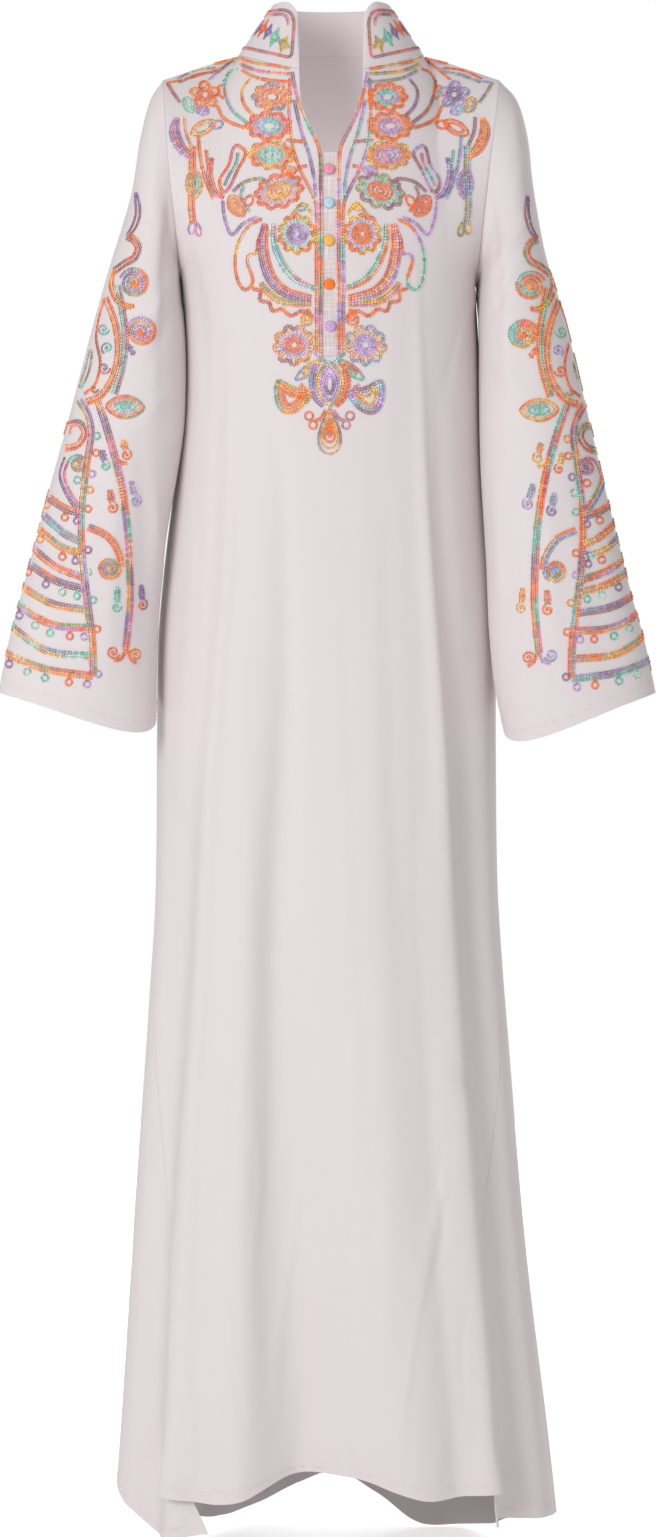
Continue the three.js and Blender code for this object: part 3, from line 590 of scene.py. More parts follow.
def flower(x, y, width, height, lobes, tilt, threads, depth=0.28):
    """Scalloped oval: the radius swells in each petal as |sin|, and less so towards the middle. A large one
    has an edge row, a fringe of short strokes inside it and rows of the last thread round its middle."""
    turn = np.linspace(0, 2 * np.pi, 100)
    swell = np.abs(np.sin(lobes * turn / 2)) - 0.6

    def outline(shrink):
        radius = shrink * (1 + depth * shrink * swell) / (1 + 0.4 * depth * shrink)
        return turned(
            stack(width / 2 * radius * np.cos(turn), height / 2 * radius * np.sin(turn)), x, y, tilt
        )

    half = min(width, height) / 2
    if half < 12:
        return rings(outline, half, threads)
    edge, fringe, *rest = threads.split("/") + threads.split("/")[-1:]
    picks = np.linspace(0, 100, int(width * 0.75)).astype(int)[:-1]
    outer, inner = outline(0.9), outline(0.6)
    strokes = [(mix(outer[k], inner[k], np.linspace(0, 1, 4)[:, None]), fringe, 0.5) for k in picks]
    middle = rings(lambda shrink: outline(0.52 * shrink), 0.52 * half, "/".join(rest[:2]))
    return [(outline(1.0), edge, 1.0), *strokes, *middle]


def almond(x, y, length, width, tilt, threads):
    """Leaf pointed at both ends: half the width is sin^1.5 along it."""
    turn = np.linspace(0, 2 * np.pi, 60)
    half = np.sign(np.sin(turn)) * np.abs(np.sin(turn)) ** 1.5

    def outline(shrink):
        return turned(stack(length / 2 * shrink**0.7 * np.cos(turn), width / 2 * shrink * half), x, y, tilt)

    return rings(outline, width / 2, threads)


def teardrop(x, y, length, width, tilt, threads):
    """Drop, pointed at the end that tilt points to and round at the other."""
    turn = np.linspace(0, 2 * np.pi, 50)
    half = np.sin(turn) * ((1 - np.cos(turn)) / 2) ** 0.6

    def outline(shrink):
        return turned(stack(length / 2 * shrink * np.cos(turn), width / 1.6 * shrink * half), x, y, tilt)

    return rings(outline, width / 2, threads)


def bean(x, y, length, width, tilt, threads):
    """Kidney shape: an oval bent by the square of the distance along it."""
    turn = np.linspace(0, 2 * np.pi, 60)

    def outline(shrink):
        along = np.cos(turn)
        bend = 0.32 * length * (along**2 - 0.4)
        return turned(
            stack(length / 2 * shrink**0.6 * along, width / 2 * shrink * np.sin(turn) - bend), x, y, tilt
        )

    return rings(outline, width / 2, threads)


def coil(x, y, radius, start, threads):
    """Disc stitched as one spiral from its rim inwards, in finer stitches when it is small; start is the
    angle of its first stitch."""
    size = 1.0 if radius > 10 else FINE
    pitch = ROW * (size if radius > 10 else 0.86)
    turns = max(radius / pitch - 0.45, 0.9)
    turn = np.linspace(0, 2 * np.pi * turns, int(30 * turns) + 8)
    reach = radius - pitch / 2 - pitch * turn / (2 * np.pi)
    a = turn + math.radians(start)
    return [(stack(x + reach * np.cos(a), y + reach * np.sin(a)), threads, size)]


def lines(points, count, threads, taper=0.0):
    """Rows side by side along a path; with taper they run together towards its ends."""
    path = smooth_path(points)
    along = np.gradient(path, axis=0)
    across = unit(stack(-along[:, 1], along[:, 0]))
    t = np.linspace(0, 1, len(path))
    spread = np.sin(np.pi * np.clip(t, 0.02, 0.98)) ** taper if taper else np.ones(len(path))
    threads = threads.split("/")
    return [
        (path + across * ((k - (count - 1) / 2) * ROW * spread)[:, None], threads[min(k, len(threads) - 1)],
         1.0)
        for k in range(count)
    ]


def toothed(points, height, waves, threads):
    """A row whose path goes out and back in teeth: a triangular wave across it."""
    path = smooth_path(points, 14)
    along = np.gradient(path, axis=0)
    across = unit(stack(-along[:, 1], along[:, 0]))
    t = np.linspace(0, 1, len(path))
    wave = np.abs(2 * np.mod(t * waves, 1) - 1) * height
    return [(path + across * wave[:, None], threads, 1.0)]


def star(x, y, size, tilt, threads):
    """Four-point star, an astroid, in two rows."""
    turn = np.linspace(0, 2 * np.pi, 40)
    shape = stack(0.8 * np.cos(turn) ** 3, np.sin(turn) ** 3)
    return [(turned(shape * size * k, x, y, tilt), threads, FINE) for k in (1.0, 0.5)]


def ring(x, y, radius, threads):
    """Small loop: one closed row."""
    turn = np.linspace(0, 2 * np.pi, 20)
    return [(stack(x + radius * np.cos(turn), y + radius * np.sin(turn)), threads, FINE)]


def bud(x, y, tip_x, tip_y, radius, threads):
    """Disc with a tapering tail that rises from it."""
    middle = (x + tip_x) / 2, (y + tip_y) / 2
    tail = lines(((tip_x, tip_y), middle, (x, y - radius * 0.7)), 2, threads.split("/")[-1], taper=0.5)
    return coil(x, y, radius, -60, threads.split("/")[0]) + tail


# The left half of the yoke, and the threads of each shape on the left and, mirrored, on the right
YOKE = [
    # bands round the neck seam
    (lines, (((238, 57), (249, 61.5), (261, 64), (275, 65.5), (290, 66.5)), 1), "orange mustard",
     "orange sand"),
    (lines, (((240, 63.5), (250, 68.5), (261, 71.5), (275, 73), (290, 74)), 1), "salmon mauve pink",
     "mustard olive"),
    (lines, (((242, 70), (251, 75.5), (261, 79), (276, 81), (289, 82)), 1), "orange coral amber",
     "grey olive"),
    # neck opening and slit
    (lines, (((292, 72), (297, 97), (306, 121), (317, 143), (320, 158), (320.5, 200), (320.5, 270),
              (320, 356)), 1), "mauve pink salmon teal orange olive", "pink mauve coral salmon lilac orange"),
    (lines, (((290, 78), (288.5, 109), (292, 145), (300, 170), (310, 190), (316, 210), (316, 270),
              (316, 352)), 1), "orange coral salmon pink mustard", "teal lilac pink purple orange salmon"),
    (lines, (((294, 100), (301, 131), (309, 155), (314, 179), (315, 196)), 1), "purple lilac blue",
     "mint lilac blue"),
    (lines, (((286, 140), (296, 141), (306, 142)), 1), "orange", "rose"),
    (lines, (((297, 167), (307, 166)), 1), "coral", "coral"),
    # flowers
    (flower, (272, 97, 40, 28, 9, 0), "amber grey/orange/orange amber", "orange/salmon orange/lilac teal"),
    (flower, (269, 126, 46, 28, 9, 0), "coral orange/rose pink/lilac sky teal",
     "orange coral/amber/pink lilac"),
    (flower, (271, 155, 46, 29, 9, 0), "mustard orange/amber/teal mint", "amber mustard/orange/pink lilac"),
    (flower, (279, 191, 50, 34, 10, -20), "coral orange/lilac salmon/amber mustard",
     "mauve olive/teal mint/orange coral"),
    (flower, (297, 234, 38, 40, 10, 0), "mustard orange/mint teal/lilac purple",
     "orange mustard/lilac/orange"),
    (almond, (289, 171, 15, 9, -8), "orange amber", "lilac"),
    (lines, (((290, 217), (303, 203), (312, 215)), 1), "mustard sand", "mustard"),
    (teardrop, (302, 208, 10, 6, 0), "teal blue", "mustard"),
    # arcs above the flowers
    (lines, (((217, 106), (222, 116), (231, 123), (245, 128)), 1), "orange", "orange coral"),
    (lines, (((224, 80), (226, 96), (233, 111), (247, 123)), 1), "blue teal grey", "brick mauve"),
    (lines, (((250, 79), (242, 91), (245, 106), (254, 116)), 1), "mustard orange", "mauve purple"),
    (lines, (((236, 58), (222, 69), (209, 80)), 1), "purple lilac", "orange coral"),
    (lines, (((238, 69), (229, 73), (225, 81)), 1), "teal mint", "coral"),
    # shoulder
    (lines, (((178, 81), (196, 73), (216, 70)), 2), "grey sand/mauve", "orange coral/grey"),
    (lines, (((167, 83), (188, 79), (222, 68)), 1), "orange amber", "grey blue"),
    (lines, (((167, 83), (173, 93), (180, 103)), 1), "brick mauve", "olive grey"),
    (flower, (205, 95, 30, 27, 5, 15), "orange amber/salmon/orange coral", "lilac blue/lilac/purple", 0.6),
    (almond, (222, 92, 14, 8, 70), "orange", "orange amber"),
    (almond, (189, 105, 17, 11, 65), "teal mint/mint", "olive mustard/sand"),
    (almond, (202, 110, 14, 10, 30), "lilac", "sky lilac"),
    # side column
    (lines, (((177, 118), (174, 131), (180, 147), (191, 158)), 3), "mauve purple/rose pink/lilac",
     "orange/mustard amber/coral", 0.7),
    (lines, (((184, 117), (185, 131), (191, 146)), 1), "salmon", "mauve"),
    (lines, (((192, 146), (192, 174), (191, 205), (193, 224)), 2), "orange coral/amber",
     "olive blue/teal grey"),
    (almond, (194, 184, 30, 16, 88), "mustard sand/teal mint", "lilac/purple"),
    (teardrop, (192, 226, 16, 7, -80), "lilac", "mustard olive"),
    (teardrop, (198, 229, 14, 6, -100), "lilac pink", "olive"),
    (lines, (((198, 135), (200, 157), (205, 179), (213, 199)), 1), "orange amber", "blue"),
    (lines, (((206, 150), (207, 160), (209, 171)), 1), "orange", "teal"),
    (almond, (203, 128, 28, 13, -28), "mustard amber/sand", "coral orange/orange"),
    (almond, (217, 125, 14, 8, -10), "lilac blue", "orange"),
    (lines, (((212, 158), (209, 174), (214, 191), (224, 198)), 2), "coral orange/pink mauve", "lilac/purple",
     0.6),
    # feather leaf
    (lines, (((237, 145), (246, 153), (238, 170), (229, 189), (223, 192), (220, 180), (229, 166), (233, 150),
              (237, 145)), 1), "orange coral rose", "lilac mauve"),
    (lines, (((238, 153), (236, 164), (228, 178), (225, 186)), 1), "teal blue lilac", "coral rose teal"),
    # swirls
    (lines, (((223, 201), (225, 219), (232, 235), (243, 224), (257, 217)), 1), "lilac purple", "lilac"),
    (lines, (((233, 192), (245, 182), (262, 179), (268, 186)), 1), "grey mauve olive", "mauve"),
    (lines, (((244, 186), (241, 197), (250, 212)), 1), "teal grey", "mauve coral"),
    (almond, (237, 206, 24, 16, 55), "orange amber/amber", "orange coral/coral"),
    (almond, (249, 201, 12, 8, -60), "orange", "orange"),
    (lines, (((262, 219), (248, 227), (238, 244), (235, 265), (239, 282), (246, 289), (253, 280), (247, 262),
              (249, 255), (259, 254)), 1),
     "orange salmon mustard orange coral", "orange lilac teal mint teal"),
    (lines, (((266, 225), (259, 238), (257, 252)), 1), "coral brick", "coral orange"),
    (lines, (((265, 224), (263, 250), (270, 276), (286, 292), (311, 298)), 3),
     "coral orange/pink lilac/mauve purple", "orange coral/salmon/rose lilac", 0.35),
    (lines, (((273, 224), (274, 244), (282, 264), (295, 279), (314, 288)), 2), "teal mint pink/mint sky",
     "teal mint/salmon orange", 0.35),
    (lines, (((260, 282), (269, 293), (283, 302), (311, 304)), 2), "mustard olive/amber sand",
     "mustard/amber pink", 0.3),
    (toothed, (((258, 284), (268, 300), (285, 309), (313, 310)), 7, 4), "coral brick orange", "orange coral"),
    (teardrop, (307, 317, 16, 12, -80), "mustard amber/amber", "orange/orange"),
    # lower flower and its leaf
    (flower, (294, 345, 42, 40, 9, -10), "salmon amber mauve/lilac mustard/pink lilac/orange coral",
     "grey blue sand/orange sand/lilac/lilac"),
    (almond, (308, 370, 32, 9, -38), "blue mustard grey", "brick olive teal"),
    (bean, (291, 396, 36, 26, 20), "teal olive mustard amber/amber/orange coral",
     "lilac blue mauve/sky lilac/mustard"),
    (lines, (((299, 399), (306, 391), (300, 384)), 1), "coral", "lilac rose"),
    (lines, (((316, 364), (312, 380), (315, 396), (323, 406)), 2), "purple lilac/blue purple",
     "orange coral/coral", 0.5),
    (ring, (309, 416, 4.2), "coral orange", "rose"),
    (ring, (313, 425, 4), "orange", "pink mauve"),
    (lines, (((314, 421), (320, 419), (326, 410)), 1), "coral orange", "rose"),
]

# Shapes on the centre line below the slit
CENTRE = [
    (lines, (((314, 353), (322, 359), (329.5, 364), (337, 359), (345, 353)), 1), "rose lilac sky teal"),
    (almond, (329.5, 384, 44, 25, 90), "mustard olive sand/lilac/purple lilac"),
    (teardrop, (329.5, 431, 46, 24, -90), "sand grey mauve/mustard sand/orange"),
    (lines, (((329.5, 410), (329.5, 425), (329.5, 438)), 1), "orange amber"),
]

# The left sleeve, on its front half; the right one is mirrored, and both are repeated over the back half
SLEEVE = [
    (lines, (((137, 193), (138, 212), (134, 226), (127, 236)), 2), "grey purple mauve", "purple mauve", 0.35),
    (lines, (((127, 236), (134, 240), (138, 248), (134, 258), (125, 263), (114, 271)), 2),
     "coral mauve brick", "olive coral"),
    (coil, (134, 283, 17, 200), "orange olive purple lilac grey", "orange amber coral teal"),
    (lines, (((114, 270), (111, 284), (116, 298), (125, 306), (134, 306)), 2), "orange amber",
     "coral mustard", 0.6),
    (lines, (((117, 285), (122, 311), (125, 339), (122, 366), (114, 394)), 2), "mauve rose grey/teal mint",
     "orange/teal olive"),
    (coil, (141, 332, 17, 190), "orange amber sand pink lilac", "mustard orange teal"),
    (bud, (132, 353, 127, 345, 5), "purple", "orange"),
    (lines, (((105, 298), (114, 321), (118, 347), (114, 374), (101, 395), (86, 402)), 2),
     "orange coral/salmon amber", "orange/amber"),
    (lines, (((105, 298), (99, 317), (96, 339), (100, 362), (95, 384), (84, 394)), 1), "coral orange brick",
     "coral"),
    (coil, (103, 329, 8, 0), "teal blue", "teal"),
    (coil, (107, 348, 8, 120), "teal purple", "lilac"),
    (coil, (104, 368, 8, 0), "purple rose", "orange"),
    (coil, (94, 389, 6, 0), "brick coral", "olive"),
    (lines, (((91, 350), (87, 370), (80, 388)), 2), "teal grey olive", "olive", 0.3),
    (almond, (125, 407, 38, 22, 2), "orange coral olive/salmon/sky teal", "mustard orange/sand/teal"),
    (lines, (((79, 400), (88, 416), (91, 434), (87.5, 457), (84, 483), (81, 510), (81, 537), (83, 569),
              (87, 601), (92, 641), (93, 676)), 2),
     "orange olive teal coral lilac purple mauve/olive sand pink",
     "orange coral mauve olive teal/amber rose grey"),
    (lines, (((97, 400), (104, 420), (110, 440), (116, 462), (121, 484), (125, 510), (128, 537), (129.5, 573),
              (130, 600), (128, 626), (125, 650)), 2),
     "mauve rose pink orange teal salmon/purple pink olive mustard",
     "orange amber olive teal mauve/coral teal rose"),
    (lines, (((115, 457), (120, 484), (125, 510)), 1), "pink purple", "coral"),
    (coil, (113, 652, 8.5, 20), "orange coral", "lilac blue"),
    (coil, (136, 655, 8.5, 160), "orange amber", "coral orange"),
    (lines, (((125, 650), (121, 659), (113, 660)), 1), "orange", "lilac"),
    (lines, (((127, 650), (131, 660), (137, 663)), 1), "coral", "orange"),
    (bud, (126, 455, 123, 440, 7.5), "orange/amber", "mustard/amber"),
    (bud, (105, 466, 102, 450, 7), "teal/purple", "orange/mustard"),
    (bud, (136, 501, 131, 481, 8), "lilac blue/lilac", "lilac/blue"),
    (bud, (112, 508, 110, 490, 7.5), "orange/coral", "purple/blue"),
    (bud, (116, 607, 117, 587, 7.5), "mint teal/teal", "orange/coral"),
    (bud, (143, 605, 142, 585, 7.5), "coral mauve/purple", "mustard/amber"),
    (lines, (((116, 457), (121, 463), (127, 463)), 1), "orange", "mustard"),
    (lines, (((88, 527), (107, 536), (118, 552), (121, 567)), 2), "amber mauve orange/coral",
     "orange sand/blue"),
    (coil, (109, 568, 13.5, 0), "orange olive grey amber", "sand orange olive blue"),
    (lines, (((68, 434), (70, 425), (80, 424), (84, 434), (77, 445), (65, 448)), 2),
     "orange coral mauve/salmon", "olive brick"),
    (coil, (77, 464, 11.5, 180), "olive sand teal rose", "purple rose"),
    (lines, (((67, 458), (62, 475), (68, 493), (80, 512)), 2), "mauve rose pink/purple", "olive orange/blue"),
    (ring, (77, 480, 3.5), "teal", "orange"),
]
RAIL_DROPS = table(
    "x y",
    (97, 436), (96, 453), (92, 474), (90, 490), (88, 509), (88, 550), (88, 572), (93, 600), (97, 629), (
        98, 674
    ),
)
BARS = [
    # outer end, middle and inner end of each bar, its threads, and how many loops hang from it
    (((38, 488), (62, 507), (81, 513)), "coral orange amber/mauve", 3),
    (((34, 506), (62, 532), (80, 542)), "blue grey purple/grey teal", 0),
    (((29, 520), (59, 546), (80, 553)), "orange olive mustard/amber", 3),
    (((25, 540), (54, 566), (82, 577)), "lilac mauve coral/salmon orange", 0),
    (((20, 557), (54, 580), (84, 589)), "purple blue coral/mauve", 4),
    (((14, 581), (50, 603), (86, 610)), "orange sand mauve grey/amber mustard", 0),
    (((10, 600), (50, 624), (89, 628)), "teal sand orange olive/lilac coral", 5),
    (((4, 620), (45, 650), (90, 656)), "mauve sand blue teal/mint mustard", 0),
    (((-2, 650), (45, 669), (93, 676)), "olive brick coral sand/amber", 5),
]
LOOP_THREADS = ("teal", "orange", "lilac", "amber", "coral", "purple", "mint")


def sheet_normals(grid, closed=False):
    """Outward unit normals of a grid whose rows run down and columns run to the viewer's right at the
    front."""
    if closed:
        wrapped = np.concatenate([grid[:, -1:], grid, grid[:, :1]], axis=1)
        across = (wrapped[:, 2:] - wrapped[:, :-2]) / 2
    else:
        across = np.gradient(grid, axis=1)
    along = np.gradient(grid, axis=0)
    return unit(np.cross(along, across))


def flat_lengths(grid, start_column=0):
    """Distance over the cloth from one column and from the top row, in millimetres: the weave's own
    coordinates."""
    across = np.cumsum(np.linalg.norm(np.diff(grid, axis=1, prepend=grid[:, :1]), axis=-1), axis=1)
    down = np.cumsum(np.linalg.norm(np.diff(grid, axis=0, prepend=grid[:1]), axis=-1), axis=0)
    return across - across[:, start_column : start_column + 1], down.mean(axis=1, keepdims=True) + 0 * down


def linked(name, data):
    """A new object in the scene for a mesh, a light or a camera."""
    made = bpy.data.objects.new(name, data)
    bpy.context.scene.collection.objects.link(made)
    return made


def mesh_object(name, points, faces, material, uv=None, colours=None, sharp=50):
    """A mesh from whole arrays: points in millimetres, faces as a list of index arrays of equal-sided
    faces."""
    mesh = bpy.data.meshes.new(name)
    loops = np.concatenate([part.ravel() for part in faces]).astype(np.int32)
    sizes = np.concatenate([np.full(len(part), part.shape[1]) for part in faces])
    mesh.vertices.add(len(points))
    mesh.vertices.foreach_set("co", (points * MM).astype(np.float32).ravel())
    mesh.loops.add(len(loops))
    mesh.loops.foreach_set("vertex_index", loops)
    mesh.polygons.add(len(sizes))
    mesh.polygons.foreach_set("loop_start", np.concatenate([[0], np.cumsum(sizes)[:-1]]).astype(np.int32))
    mesh.update(calc_edges=True)
    if uv is not None:
        layer = mesh.uv_layers.new(name="cloth")
        layer.data.foreach_set("uv", (uv[loops] * MM).astype(np.float32).ravel())
    if colours is not None:
        layer = mesh.color_attributes.new(name="thread", type="FLOAT_COLOR", domain="POINT")
        layer.data.foreach_set("color", colours.astype(np.float32).ravel())
    mesh.validate()
    mesh.shade_smooth()
    mesh.set_sharp_from_angle(angle=math.radians(sharp))
    mesh.materials.append(material)
    return linked(name, mesh)


def shell(name, grid, material, thickness, closed=False, hole=None, normals=None, start_column=0, flip=False):
    """A cloth wall: the grid is its outer face, the inner one lies a thickness behind it along the normals,
    and every free edge gets a rim. hole marks cells that are left out."""
    rows, columns = grid.shape[:2]
    normals = sheet_normals(grid, closed) if normals is None else normals
    normals = -normals if flip else normals
    across, down = flat_lengths(grid, start_column)
    uv = stack(across, down).reshape(-1, 2)
    index = np.arange(rows * columns).reshape(rows, columns)
    right = np.roll(index, -1, axis=1) if closed else index[:, 1:]
    left = index if closed else index[:, :-1]
    cells = stack(left[:-1], left[1:], right[1:], right[:-1])
    keep = np.ones(cells.shape[:2], bool) if hole is None else ~hole
    quads = cells[keep]
    quads = quads[:, ::-1] if flip else quads
    edges = np.concatenate([quads[:, [k, (k + 1) % 4]] for k in range(4)])
    total = rows * columns
    free = edges[~np.isin(edges[:, 0] * total + edges[:, 1], edges[:, 1] * total + edges[:, 0])]
    rims = stack(free[:, 1], free[:, 0], free[:, 0] + total, free[:, 1] + total)
    outer = grid.reshape(-1, 3)
    points = np.vstack([outer, outer - normals.reshape(-1, 3) * thickness])
    faces = np.vstack([quads, quads[:, ::-1] + total, rims])
    used, packed = np.unique(faces, return_inverse=True)
    return mesh_object(
        name, points[used], [packed.reshape(faces.shape)], material, uv=np.vstack([uv, uv])[used]
    )


def srgb(*levels):
    """Linear colour from 0-255 display levels."""
    value = np.array(levels, float) / 255
    linear = np.where(value <= 0.04045, value / 12.92, ((value + 0.055) / 1.055) ** 2.4)
    return (*linear, 1.0)


class Nodes:
    """Short way to add and join the nodes of one material."""

    def __init__(self, name):
        self.material = bpy.data.materials.new(name)
        self.material.use_nodes = True
        self.tree = self.material.node_tree
        self.tree.nodes.clear()
        self.shader = self.add("ShaderNodeBsdfPrincipled")
        output = self.add("ShaderNodeOutputMaterial")
        self.join(self.shader.outputs["BSDF"], output.inputs["Surface"])

    def add(self, kind, settings=None, **values):
        """A node with its settings; values go to its inputs by name, with _ for a space, or by number after
        _."""
        node = self.tree.nodes.new(kind)
        for key, value in (settings or {}).items():
            setattr(node, key, value)
        for key, value in values.items():
            place = int(key[1:]) if key[1:].isdigit() else key.replace("_", " ")
            self.put(value, node.inputs[place])
        return node

    def put(self, value, socket):
        """Joins a socket to an input, or writes a constant into it."""
        if isinstance(value, bpy.types.NodeSocket):
            self.join(value, socket)
        else:
            socket.default_value = value

    def join(self, a, b):
        """Links an output to an input."""
        self.tree.links.new(a, b)

    def maths(self, operation, a, b=0.0):
        """Result of one arithmetic step."""
        return self.add("ShaderNodeMath", {"operation": operation}, _0=a, _1=b).outputs[0]

    def noise(self, place, scale, detail=2.0, flat=False):
        """Cloudy value round a half; flat takes two of the place's numbers only."""
        settings = {"noise_dimensions": "2D"} if flat else None
        node = self.add("ShaderNodeTexNoise", settings, Vector=place, Scale=scale, Detail=detail)
        return node.outputs["Fac"]

    def finish(self, **values):
        """Sets inputs of the shader by name, with _ for a space."""
        for key, value in values.items():
            self.put(value, self.shader.inputs[key.replace("_", " ")])


def linen(name, colour, deep, weave_pitch, bump=0.35):
    """Plain-weave linen: uneven warp and weft threads as two crossed sets of bands on the flat cloth, slubs
    as long thin noise both ways, faint cloudy tone, soft sheen and a fully rough surface. The colour goes
    towards deep where the weave and the slubs are low, the same signal that drives the bump: random tone of
    the slubs and clouds, and painted shade in the hollows of the weave."""
    n = Nodes(name)
    uv = n.add("ShaderNodeUVMap", {"uv_map": "cloth"}).outputs["UV"]
    split = n.add("ShaderNodeSeparateXYZ", Vector=uv)
    u, v = split.outputs["X"], split.outputs["Y"]
    drift = n.maths("MULTIPLY", n.noise(uv, 90.0, flat=True), 6.0)
    turns = 2 * math.pi / weave_pitch
    warp = n.maths("SINE", n.maths("ADD", n.maths("MULTIPLY", u, turns), drift))
    weft = n.maths("SINE", n.maths("ADD", n.maths("MULTIPLY", v, turns * 0.9), drift))
    weave = n.maths("MULTIPLY", warp, weft)

    def slubs(long_u, long_v, seed):
        """Long thin noise: the flat cloth stretched both ways by different amounts."""
        shift = n.add("ShaderNodeMapping", Vector=uv, Location=(seed, seed, 0.0), Scale=(long_u, long_v, 1.0))
        return n.noise(shift.outputs[0], 1.0, flat=True)

    down_slubs, cross_slubs = slubs(900.0, 28.0, 3.7), slubs(28.0, 900.0, 9.1)
    slub = n.maths("SUBTRACT", n.maths("ADD", down_slubs, cross_slubs), 1.0)
    cloud = n.noise(uv, 14.0, detail=3.0, flat=True)
    clouds = n.maths("MULTIPLY", n.maths("SUBTRACT", cloud, 0.5), 0.6)
    tone = n.maths("ADD", n.maths("MULTIPLY", slub, 1.5), clouds)
    tone = n.maths("ADD", n.maths("MULTIPLY", weave, 0.10), tone)
    share = n.add("ShaderNodeClamp", Value=n.maths("ADD", tone, 0.5)).outputs[0]
    # Towards deep where the tone is low: random slub and cloud tone, and painted shade where the weave and
    # slubs sink
    mixed = n.add("ShaderNodeMix", {"data_type": "RGBA"}, _0=share, _6=deep, _7=colour)
    height = n.maths("ADD", n.maths("MULTIPLY", weave, 0.5), n.maths("MULTIPLY", slub, 1.6))
    relief = n.add("ShaderNodeBump", Strength=bump, Distance=0.00025, Height=height)
    n.finish(
        Base_Color=mixed.outputs[2], Normal=relief.outputs[0], Roughness=0.92, Specular_IOR_Level=0.18,
        Sheen_Weight=0.18, Sheen_Roughness=0.5, Subsurface_Weight=0.35, Subsurface_Radius=(1.0, 0.85, 0.8),
        Subsurface_Scale=0.0015,
    )
    return n.material


def thread_finish(name):
    """Embroidery thread: the colour painted on each stitch, a fine slanting twist as bump, and a silky
    sheen. The painted colour holds the thread's dye times the painted shade of the stitches and of the
    buttons' grooves."""
    n = Nodes(name)
    paint = n.add("ShaderNodeAttribute", {"attribute_name": "thread", "attribute_type": "GEOMETRY"})
    place = n.add("ShaderNodeTexCoord").outputs["Object"]
    brightness = n.maths("ADD", n.maths("MULTIPLY", n.noise(place, 1800.0), 0.5), 1.22)
    tone = n.add("ShaderNodeHueSaturation", Color=paint.outputs["Color"], Value=brightness, Saturation=1.04)
    twist = n.add(
        "ShaderNodeTexWave", {"bands_direction": "DIAGONAL"}, Vector=place, Scale=620.0, Distortion=3.0,
        Detail=1.0
    ).outputs["Fac"]
    relief = n.add("ShaderNodeBump", Strength=0.5, Distance=0.00012, Height=twist)
    n.finish(
        Base_Color=tone.outputs[0], Normal=relief.outputs[0], Roughness=0.55, Specular_IOR_Level=0.35,
        Sheen_Weight=0.25,
    )
    return n.material


def plain_stage(name, colour, glow, shown_glow):
    """Matt paper of one even colour, with a barely visible grain. It is lit a little from below, and looks
    brighter in the picture than the light that it gives to the cloth, so it joins the white backdrop."""
    n = Nodes(name)
    place = n.add("ShaderNodeTexCoord").outputs["Object"]
    relief = n.add("ShaderNodeBump", Strength=0.02, Height=n.noise(place, 300.0))
    shown = n.maths("MULTIPLY", n.add("ShaderNodeLightPath").outputs["Is Camera Ray"], shown_glow - glow)
    n.finish(
        Base_Color=colour, Normal=relief.outputs[0], Roughness=0.95, Emission_Color=(1, 1, 1, 1),
        Emission_Strength=n.maths("ADD", shown, glow),
    )
    return n.material


def material(name):
    """Finishes are made once and shared by name."""
    settings = bpy.context.scene.abaya_cloth
    made = bpy.data.materials.get(name)
    if made:
        return made
    if name == "thread":
        return thread_finish(name)
    # The under placket is the same linen with a lighter colour: painted light against the shade it lies in
    # behind the slit
    colour = settings.placket_painted_lighter_colour if name == "placket_linen_painted_lighter" else settings.colour
    return linen(name, tuple(colour), tuple(settings.shade_colour), settings.weave_pitch)


class AbayaCloth(bpy.types.PropertyGroup):
    """Cloth sizes and colours"""

    thickness: bpy.props.FloatProperty(
        name="Cloth thickness", description="Thickness of the linen", default=0.0009, min=0.0003, max=0.002,
        unit="LENGTH",
    )
    weave_pitch: bpy.props.FloatProperty(
        name="Weave pitch", description="Distance between neighbouring threads of the weave", default=0.0009,
        min=0.0004, max=0.003, unit="LENGTH",
    )
    crease_height: bpy.props.FloatProperty(
        name="Creases", description="Height of the creases, as a share of the hand-placed ones", default=1.0,
        min=0.0, max=2.0, subtype="FACTOR",
    )
    colour: bpy.props.FloatVectorProperty(
        name="Linen", description="Colour of the linen's raised threads", default=srgb(236, 227, 227), size=4,
        min=0, max=1, subtype="COLOR",
    )
    # The linen's deep colour: random tone of slubs and clouds, and painted shade in the hollows of the weave
    shade_colour: bpy.props.FloatVectorProperty(
        name="Linen shade", description="Colour between the threads", default=srgb(212, 199, 199), size=4,
        min=0,
        max=1, subtype="COLOR",
    )
    # Same linen as the panels, painted lighter: painted light against the shade behind the slit
    placket_painted_lighter_colour: bpy.props.FloatVectorProperty(
        name="Under placket", description="Colour of the strip behind the slit", default=srgb(246, 238, 238),
        size=4,
        min=0, max=1, subtype="COLOR",
    )


